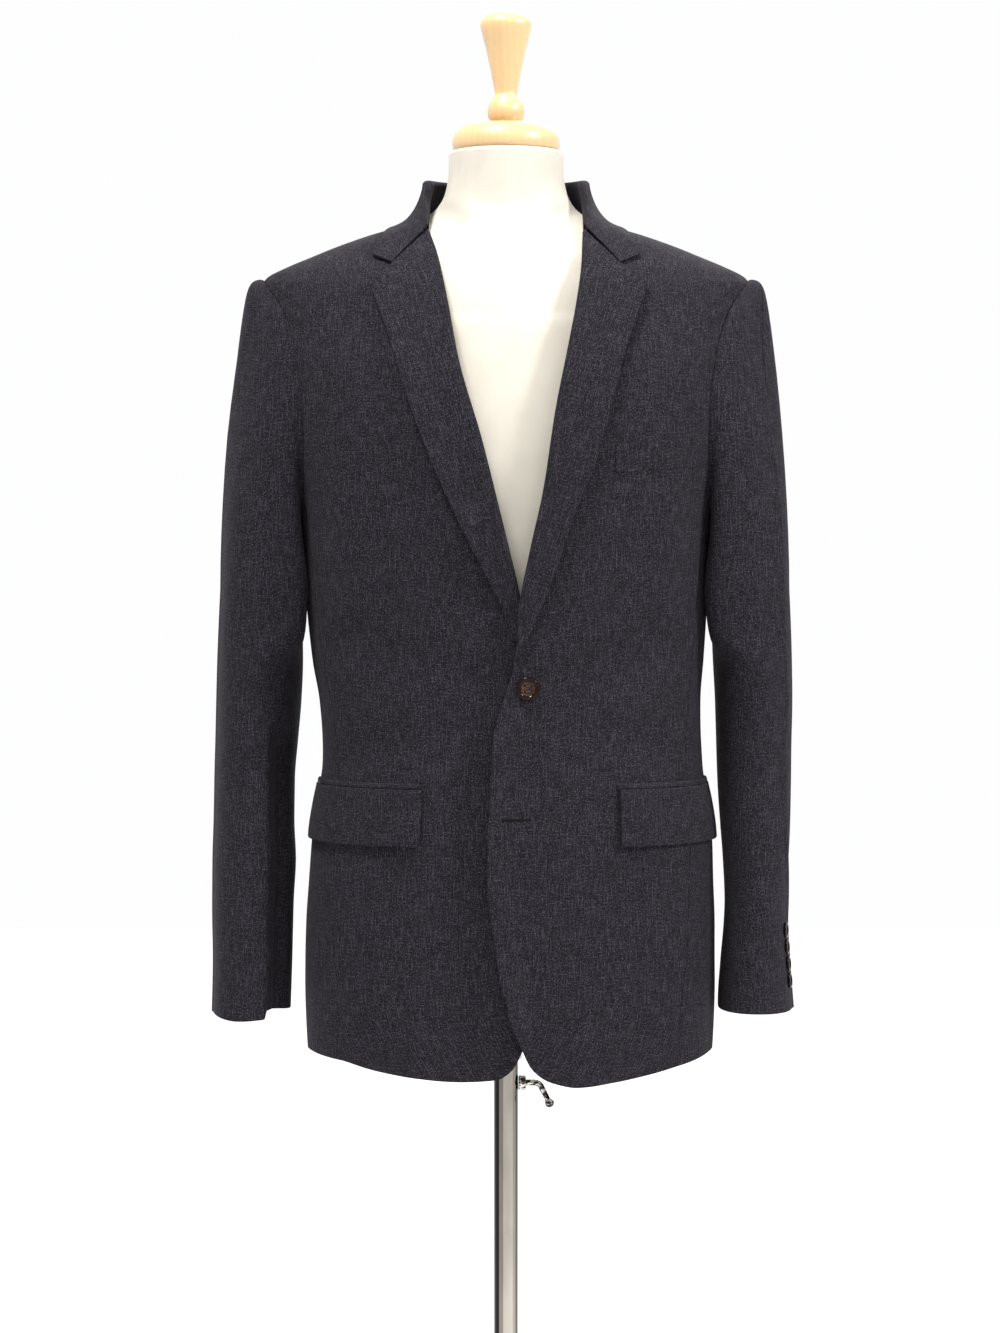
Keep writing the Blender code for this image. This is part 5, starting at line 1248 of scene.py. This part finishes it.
def startDrawing(name):
    # takes the piece just added into edit mode
    piece = bpy.context.active_object
    piece.name = name
    settle(piece)
    bpy.ops.object.mode_set(mode="EDIT")
    bpy.ops.mesh.select_all(action="SELECT")
    return piece


def endDrawing(sharp):
    bpy.ops.mesh.select_all(action="SELECT")
    bpy.ops.mesh.normals_make_consistent(inside=False)
    bpy.ops.object.mode_set(mode="OBJECT")
    bpy.ops.object.shade_smooth_by_angle(angle=math.radians(sharp))


def turnedPiece(name, profile, sides, closed=False):
    # one circle drawn out and sized again for every place of the profile, from its top to its bottom
    radius, height = profile[0]
    bpy.ops.mesh.primitive_circle_add(vertices=sides, radius=radius, location=(0.0, 0.0, height),
                                      fill_type="NOTHING" if closed else "NGON")
    piece = startDrawing(name)
    piece.data.name = name
    for (radius, height), (nextRadius, nextHeight) in zip(profile, profile[1:]):
        bpy.ops.mesh.extrude_region_move(TRANSFORM_OT_translate={"value": (0.0, 0.0, nextHeight - height)})
        share = nextRadius / radius
        bpy.ops.transform.resize(value=(share, share, 1.0), center_override=(0.0, 0.0, nextHeight))
    if closed:
        bpy.ops.mesh.select_all(action="SELECT")
        bpy.ops.mesh.remove_doubles(threshold=0.000001)
    endDrawing(32.0)
    return piece


def placeOn(piece, place, way):
    piece.rotation_mode = "QUATERNION"
    piece.rotation_quaternion = Vector(way).to_track_quat("Z", "Y")
    piece.location = place
    settle(piece)


def cutHoles(button, spacing, radius):
    for x in (-spacing, spacing):
        for y in (-spacing, spacing):
            bpy.ops.mesh.primitive_cylinder_add(vertices=20, radius=radius, depth=0.02, location=(x, y, 0.0))
            cutter = bpy.context.active_object
            choose([button])
            cut = button.modifiers.new("hole", "BOOLEAN")
            cut.operation = "DIFFERENCE"
            cut.solver = "EXACT"
            cut.object = cutter
            bpy.ops.object.modifier_apply(modifier="hole")
            bpy.data.objects.remove(cutter)


def paintRim(button, reach):
    button.data.materials.append(horn)
    button.data.materials.append(rim)
    for face in button.data.polygons:
        face.material_index = 1 if math.hypot(face.center[0], face.center[1]) > reach else 0


def threadRun(name, start, end, lift, radius):
    # one bundle of thread from hole to hole: a rod bent up in its middle
    way, middle = Vector(end) - Vector(start), (Vector(start) + Vector(end)) / 2
    bpy.ops.mesh.primitive_cylinder_add(vertices=10, radius=radius, depth=way.length + 2 * radius, location=middle)
    thread = bpy.context.active_object
    thread.rotation_mode = "QUATERNION"
    thread.rotation_quaternion = way.to_track_quat("Z", "X")
    startDrawing(name)
    bpy.ops.mesh.subdivide(number_cuts=5, quadcorner="STRAIGHT_CUT")
    bpy.ops.object.mode_set(mode="OBJECT")
    half = way.length / 2 + radius
    for vertex in thread.data.vertices:
        away = (vertex.co - middle).dot(way.normalized()) / half
        vertex.co.z += lift * (1 - abs(away) ** 3.0) - 0.0006 * max(0.0, abs(away) - 0.8) / 0.2
    thread.data.materials.append(sewThread)
    bpy.ops.object.shade_smooth_by_angle(angle=math.radians(50.0))
    return thread


def joined(pieces, name):
    choose(pieces)
    bpy.ops.object.join()
    pieces[0].name = name
    return pieces[0]


def onLeftFront(x, height):
    angle = float(frontAngle(x, height))
    way = bodyNormal(angle, height)
    return bodyPoint(angle, height) + way * float(leftLift(angle, height)), way


def makeFrontButton(sizes):
    radius, spacing = sizes["radius"], sizes["radius"] * sizes["spacing"]
    button = turnedPiece("frontButton", [(share * radius, height) for share, height in sizes["profile"]], 56)
    cutHoles(button, spacing, sizes["hole"])
    paintRim(button, radius * sizes["rimFrom"])
    runs = []
    for side in (-1, 1):
        for shift in (-0.00026, 0.00026):
            runs.append(threadRun("buttonThread", (-spacing, side * spacing + shift, 0.0020),
                                  (spacing, side * spacing + shift * 1.3, 0.0020), 0.00035, 0.00030))
    threads = joined(runs, "buttonThread")
    place, way = onLeftFront(sizes["x"], sizes["height"])
    for piece, node in ((button, "button_front"), (threads, None)):
        placeOn(piece, place + way * sizes["seat"], way)
        dress(piece, "form", node)


def makeCuffButtons(sizes):
    radius, thick = sizes["cuffRadius"], sizes["cuffThick"]
    model = turnedPiece("cuffButton", [(share * radius, height * thick) for share, height in sizes["profile"]], 32)
    paintRim(model, radius * sizes["cuffRimFrom"])
    for hand, side in (("left", 1), ("right", -1)):
        surface = sleeveSurface(hand)
        for count in range(sizes["cuffCount"]):
            height = sizes["cuffFirst"] + sizes["cuffPitch"] * count
            run = 1.0 + (sleeveSizes["tube"] - height) / (sleeveSizes["tube"] - sleeveSizes["cuff"])
            turn = float(sleeveSizes[hand + "Hind"].at(run, "turn")) + sizes["cuffTurn"][hand]
            way = crossNormal(surface, np.array(turn), np.array(run), 1.0, 0.004)
            place = surface(np.array(turn), np.array(run)) + way * sizes["cuffSeat"]
            button = model.copy()
            button.data = model.data.copy()
            button.name = "cuffButton%s%d" % (hand.title(), count + 1)
            scene.collection.objects.link(button)
            placeOn(button, (place[0] * side, place[1], place[2]), (way[0] * side, way[1], way[2]))
            dress(button, "form", "cuff_button_%s_%d" % (hand, count + 1))
    bpy.data.objects.remove(model)


def makeButtonhole(sizes):
    # a dark sheet of painted shade in the slit, worked round with thread, lying on the front
    (near, far), height = sizes["slitX"], sizes["slitHeight"]
    wide, over = sizes["slitWide"], sizes["slitOver"]
    spots = np.linspace(near, far, 9)
    places = np.array([onLeftFront(x, height)[0] for x in spots])
    way = onLeftFront((near + far) / 2, height)[1]
    bpy.ops.mesh.primitive_grid_add(x_subdivisions=16, y_subdivisions=2, size=1.0)
    slitShade = bpy.context.active_object
    slitShade.name = "buttonholeSlit"
    for vertex in slitShade.data.vertices:
        share, aside = vertex.co.x + 0.5, vertex.co.y * 2
        x = near + (far - near) * share
        slim = wide * (1 - (2 * share - 1) ** 4 * 0.6) * (1.1 - share * 0.6)
        vertex.co = (x, np.interp(x, spots, places[:, 1]) + way[1] * over, height + aside * slim)
    # the dark sheet is painted shade standing in for the slit's opening, in the button rim's dark material
    slitShade.data.materials.append(rim)
    runs = []
    for aside in (-1, 1):
        for k in range(8):
            shift = way * over + np.array([0.0, 0.0, aside * (wide * (1.1 - k * 0.075) + over)])
            start, end = places[k] + shift, places[k + 1] + shift
            runs.append(threadRun("buttonholeThread", start, end, 0.0, 0.00032 - 0.00002 * k))
    for end, thick in zip((places[0], places[-1]), sizes["barThick"]):
        shift = np.array([0.0, 0.0, wide * 1.3])
        runs.append(threadRun("buttonholeThread", end - shift, end + shift, 0.0, thick))
    threads = joined(runs, "buttonholeThread")
    threads.data.materials.clear()
    dress(slitShade, "form")
    dress(threads, "form", None, holeThread)


def dressLowerButton():
    for thing in bpy.data.objects:
        if thing.get("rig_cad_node") == "button_lower" or thing.name == "button_lower":
            thing.data.materials.clear()
            thing.data.materials.append(horn)


makeFrontButton(buttonSizes)
makeCuffButtons(buttonSizes)
makeButtonhole(buttonSizes)
dressLowerButton()
print("buttons ready")

# dress form: a jersey torso on a chrome stand, with a turned wooden top

formSizes = {
    "base": 0.725, "neckTop": 1.511, "clearance": 0.0016, "sides": 120, "girth": 0.80, "evenings": 10,
    # where the form is kept inside the cloth: from this angle past the front's edge, above this height
    "coverFrom": -48.0, "coverFade": 42.0, "coverFoot": 1.17, "coverFootFade": 0.03, "coverTopFade": 0.008,
    "rows": Sizes(("height", "halfWidth", "front", "back", "square"), [
        (0.725, 0.150, 0.108, 0.104, 2.3), (0.800, 0.158, 0.114, 0.110, 2.3), (0.880, 0.155, 0.110, 0.102, 2.3),
        (0.980, 0.145, 0.104, 0.084, 2.3), (1.060, 0.151, 0.108, 0.087, 2.3), (1.150, 0.162, 0.117, 0.098, 2.3),
        (1.220, 0.168, 0.119, 0.105, 2.3), (1.300, 0.174, 0.112, 0.108, 2.3), (1.350, 0.184, 0.101, 0.107, 2.2),
        (1.380, 0.190, 0.092, 0.106, 2.1), (1.400, 0.190, 0.083, 0.104, 2.0), (1.415, 0.178, 0.075, 0.098, 2.0),
        (1.430, 0.146, 0.066, 0.090, 2.0), (1.440, 0.118, 0.060, 0.083, 2.0), (1.450, 0.086, 0.055, 0.066, 2.0),
        (1.460, 0.062, 0.0520, 0.056, 2.0), (1.475, 0.0540, 0.0515, 0.0525, 2.0),
        (1.490, 0.0515, 0.0513, 0.0513, 2.0), (1.511, 0.0513, 0.0513, 0.0513, 2.0)]),
}


def formRadius(angle, height):
    own = ringRadius(angle, height, formSizes["rows"])
    slope = (ringRadius(angle, height + 0.002) - ringRadius(angle, height - 0.002)) / 0.004
    limit = ringRadius(angle, height) - (clothSizes["wall"] + formSizes["clearance"]) * np.sqrt(1 + slope * slope)
    openTo = np.abs(frontAngle(leftEdge.at(height, "x"), height)) + formSizes["coverFrom"]
    covered = smooth((np.abs((angle + 180) % 360 - 180) - openTo) / formSizes["coverFade"])
    covered *= smooth((height - formSizes["coverFoot"]) / formSizes["coverFootFade"])
    covered *= smooth((bodyEdges["neck"] + formSizes["coverTopFade"] - height) / formSizes["coverTopFade"])
    return own - covered * np.maximum(0.0, own - limit), np.where(covered > 0.97, limit, 1.0)


def makeTorso():
    base, top, sides = formSizes["base"], formSizes["neckTop"], formSizes["sides"]
    heights = np.concatenate([
        base + 0.012 * (1 - np.cos(np.radians([0, 25, 50, 70, 90]))), np.linspace(base + 0.022, 1.35, 44),
        np.linspace(1.356, 1.472, 40), np.linspace(1.476, top - 0.004, 9),
        top - 0.003 * (1 - np.sin(np.radians([0, 30, 60, 90])))])
    shrink = np.ones(len(heights))
    shrink[:5] = 1 - 0.09 * (1 - np.sin(np.radians([0, 25, 50, 70, 90])))
    shrink[-4:] = 1 - 0.0030 / 0.0513 * (1 - np.cos(np.radians([0, 30, 60, 90])))
    angles = np.linspace(0, 360, sides, endpoint=False)
    turn, level = np.meshgrid(angles, heights)
    radius, limit = formRadius(turn, level)
    radius = softened(radius, limit) * shrink[:, None]
    points = np.stack([radius * np.sin(np.radians(turn)), -radius * np.cos(np.radians(turn)), level], axis=-1)
    shape = bmesh.new()
    spread = shape.loops.layers.uv.new("UVMap")
    rings = [[shape.verts.new(point) for point in ring] for ring in points]
    lengths = walkedLength(points[:, 0])
    for r in range(len(rings) - 1):
        for c in range(sides):
            after = (c + 1) % sides
            face = shape.faces.new((rings[r][c], rings[r][after], rings[r + 1][after], rings[r + 1][c]))
            for loop, (row, column) in zip(face.loops, ((r, c), (r, c + 1), (r + 1, c + 1), (r + 1, c))):
                loop[spread].uv = (column / sides * formSizes["girth"], lengths[row])
    for ring in (rings[0], rings[-1]):
        centre = shape.verts.new((0.0, 0.0, ring[0].co.z))
        for c in range(sides):
            face = shape.faces.new((ring[c], ring[(c + 1) % sides], centre))
            for loop in face.loops:
                loop[spread].uv = (loop.vert.co.x, loop.vert.co.y)
    bmesh.ops.recalc_face_normals(shape, faces=shape.faces)
    dress(finishMesh("formTorso", shape, jersey, 55.0), "form", "form_torso")


def softened(radius, limit):
    # evens out the form where it is kept inside the cloth
    for _ in range(formSizes["evenings"]):
        around = (np.roll(radius, 1, axis=1) + np.roll(radius, -1, axis=1)) / 2
        stacked = np.vstack([radius[:1], (radius[2:] + radius[:-2]) / 2, radius[-1:]])
        radius = np.minimum((2 * radius + around + stacked) / 4, limit)
    return radius


topSizes = {
    "sides": 72,
    "cap": [(0.0020, 1.5345), (0.0345, 1.5345), (0.0372, 1.5341), (0.0400, 1.5328), (0.0432, 1.5304),
            (0.0459, 1.5272), (0.0476, 1.5236), (0.0482, 1.5204), (0.0483, 1.5180), (0.0482, 1.5160),
            (0.0478, 1.5138), (0.0470, 1.5120), (0.0460, 1.5113), (0.0020, 1.5113)],
    "handle": [(0.0010, 1.6368), (0.0050, 1.6366), (0.0095, 1.6358), (0.0140, 1.6341), (0.0180, 1.6320),
               (0.0210, 1.6296), (0.0227, 1.6270), (0.0232, 1.6243), (0.0229, 1.6215), (0.0221, 1.6180),
               (0.0205, 1.6120), (0.0186, 1.6050), (0.0165, 1.5960), (0.0147, 1.5875), (0.0130, 1.5795),
               (0.0116, 1.5720), (0.0106, 1.5665), (0.0101, 1.5630), (0.0104, 1.5608), (0.0118, 1.5590),
               (0.0134, 1.5571), (0.0148, 1.5547), (0.0158, 1.5520), (0.0165, 1.5492), (0.0167, 1.5464),
               (0.0164, 1.5436), (0.0157, 1.5409), (0.0146, 1.5385), (0.0132, 1.5364), (0.0118, 1.5350),
               (0.0010, 1.5348)],
}


def makeTop(sizes):
    for name, node, part in (("woodenCap", "form_cap", "cap"), ("woodenHandle", "form_finial", "handle")):
        dress(turnedPiece(name, sizes[part], sizes["sides"]), "form", node, wood)


# stand: round steel base, tube with a clamp, and the rod that carries the form

poleSizes = {
    "sides": 64,
    "base": [(0.0020, 0.0160), (0.0215, 0.0160), (0.0240, 0.0155), (0.0256, 0.0142), (0.0264, 0.0126),
             (0.0285, 0.0108), (0.0330, 0.0101), (0.0450, 0.0099), (0.1560, 0.0090), (0.1610, 0.0087),
             (0.1655, 0.0075), (0.1685, 0.0056), (0.1700, 0.0034), (0.1700, 0.0008), (0.1692, 0.0), (0.0020, 0.0)],
    "tube": [(0.0107, 0.6950), (0.0110, 0.6946), (0.0110, 0.0163), (0.0098, 0.0163), (0.0098, 0.6946),
             (0.0100, 0.6950), (0.0107, 0.6950)],
    "rod": [(0.0010, 0.7247), (0.0093, 0.7247), (0.0093, 0.3300), (0.0010, 0.3300)],
    "plate": [(0.0594, 0.7247), (0.0600, 0.7241), (0.0600, 0.7213), (0.0594, 0.7207), (0.0400, 0.7193),
              (0.0200, 0.7178), (0.0176, 0.7165), (0.0162, 0.7130), (0.0152, 0.7030), (0.0150, 0.6980),
              (0.0145, 0.6956), (0.0139, 0.6953), (0.0098, 0.6953), (0.0098, 0.7247), (0.0594, 0.7247)],
}


def makeStand(sizes):
    for name, node, body, part, closed in (
            ("steelBase", "stand_base", "stand", "base", False), ("steelTube", "stand_tube", "stand", "tube", True),
            ("steelRod", "stand_rod", "rod", "rod", False), ("steelPlate", "form_plate", "form", "plate", True)):
        dress(turnedPiece(name, sizes[part], sizes["sides"], closed), body, node, chrome)


def bentPiece(name, places, radii, sides):
    # one circle drawn out along a bent line and sized again at every place
    ways = [(Vector(b) - Vector(a)).normalized() for a, b in zip(places, places[1:])]
    bpy.ops.mesh.primitive_circle_add(vertices=sides, radius=radii[0], location=places[0], fill_type="NGON",
                                      rotation=ways[0].to_track_quat("Z", "Y").to_euler())
    piece = startDrawing(name)
    facing = ways[0]
    for k in range(1, len(places)):
        step = Vector(places[k]) - Vector(places[k - 1])
        bpy.ops.mesh.extrude_region_move(TRANSFORM_OT_translate={"value": step})
        after = ways[min(k, len(ways) - 1)]
        middle = (ways[k - 1] + after).normalized() if k < len(ways) else ways[-1]
        bend = facing.angle(middle)
        if bend > 0.0001:
            bpy.ops.transform.rotate(value=-math.copysign(bend, facing.cross(middle).y), orient_axis="Y",
                                     center_override=places[k])
        facing = middle
        share = radii[k] / radii[k - 1]
        bpy.ops.transform.resize(value=(share, share, share), center_override=places[k])
    endDrawing(38.0)
    return piece


clampSizes = {
    "start": 0.0113, "height": 0.6735, "nutRadius": 0.0073, "nutLength": 0.0067, "nutBore": 0.0042, "bevel": 0.0007,
    "leverRadius": 0.0028,
    "reach": [(0.0006, 0.0), (0.0090, 0.0), (0.0140, 0.0), (0.0160, -0.0002), (0.0178, -0.0008), (0.0191, -0.0018)],
    "elbow": (0.0202, -0.0030), "grip": (0.447, -0.894),
    # distance past the elbow and thickness, as a share of the lever's own
    "handle": [(0.0, 1.0), (0.003, 0.98), (0.006, 0.95), (0.0136, 0.90), (0.0142, 0.98), (0.0149, 1.18),
               (0.0157, 1.36), (0.0167, 1.50), (0.0177, 1.56), (0.0187, 1.50), (0.0196, 1.34), (0.0203, 1.12),
               (0.0208, 0.92), (0.0212, 0.70), (0.0214, 0.45)],
}


def makeClamp(sizes):
    profile = [(sizes["nutRadius"], sizes["nutLength"]), (sizes["nutRadius"], 0.0), (sizes["nutBore"], 0.0),
               (sizes["nutBore"], sizes["nutLength"]), (sizes["nutRadius"], sizes["nutLength"])]
    nut = turnedPiece("clampNut", profile, 6, True)
    bevel = nut.modifiers.new("bevel", "BEVEL")
    bevel.width = sizes["bevel"]
    bevel.segments = 3
    bevel.limit_method = "ANGLE"
    bevel.angle_limit = math.radians(40.0)
    bpy.ops.object.modifier_apply(modifier="bevel")
    nut.rotation_euler = (0.0, math.radians(90.0), 0.0)
    nut.location = (sizes["start"], 0.0, sizes["height"])
    settle(nut)
    places = [(sizes["start"] + x, 0.0, sizes["height"] + z) for x, z in sizes["reach"]]
    radii = [sizes["leverRadius"]] * len(places)
    grip = Vector((sizes["grip"][0], 0.0, sizes["grip"][1])).normalized()
    elbow = Vector((sizes["start"] + sizes["elbow"][0], 0.0, sizes["height"] + sizes["elbow"][1]))
    for distance, size in sizes["handle"]:
        places.append(tuple(elbow + grip * distance))
        radii.append(sizes["leverRadius"] * size)
    lever = bentPiece("clampLever", places, radii, 24)
    dress(nut, "stand", "clamp_nut", clampChrome)
    dress(lever, "lever", "clamp_lever", clampChrome)


makeClamp(clampSizes)
makeTorso()
makeTop(topSizes)
makeStand(poleSizes)
print("dress form and stand ready")

# studio: a wide pale floor, an even light world and soft lamps

studioSizes = {
    "floor": 14.0,
    "world": ((0.99, 0.99, 0.995), 1.0),
    "lamps": [
        # name, place, aim, size, power
        ("keyLamp", (2.1, -1.0, 2.6), (0.0, 0.0, 1.25), 0.5, 85.0),
        ("topLamp", (-0.7, -0.9, 3.7), (0.0, 0.0, 1.35), 0.7, 140.0),
        ("backLamp", (0.6, 3.0, 3.4), (0.0, 0.0, 1.2), 2.0, 70.0),
    ],
}


def floorMaterial():
    paint = Paint("paleFloor")
    grain = paint.noise(paint.coordinates("Object", (1.0, 1.0, 1.0)), 1.5, 3.0, 0.5)
    colour = paint.mix(grain * 0.10, (0.93, 0.93, 0.94), (0.86, 0.86, 0.87))
    return paint.surface(colour, 0.62, {
        "Specular IOR Level": 0.2, "Emission Color": (0.97, 0.97, 0.98, 1.0), "Emission Strength": 0.10})


def makeStudio(sizes):
    bpy.ops.mesh.primitive_plane_add(size=sizes["floor"], location=(0.0, 0.0, 0.0))
    floor = bpy.context.active_object
    floor.name = "floor"
    floor.data.materials.append(floorMaterial())
    world = bpy.data.worlds.new("softWorld")
    world.use_nodes = True
    ground = world.node_tree.nodes["Background"]
    ground.inputs["Color"].default_value = (*sizes["world"][0], 1.0)
    ground.inputs["Strength"].default_value = sizes["world"][1]
    scene.world = world
    for name, place, aim, size, strength in sizes["lamps"]:
        data = bpy.data.lights.new(name, "AREA")
        data.shape = "DISK"
        data.size = size
        data.energy = strength
        aimed(name, data, place, aim)
    scene.view_settings.view_transform = "Standard"
    scene.view_settings.look = "None"


makeStudio(studioSizes)
print("studio ready")
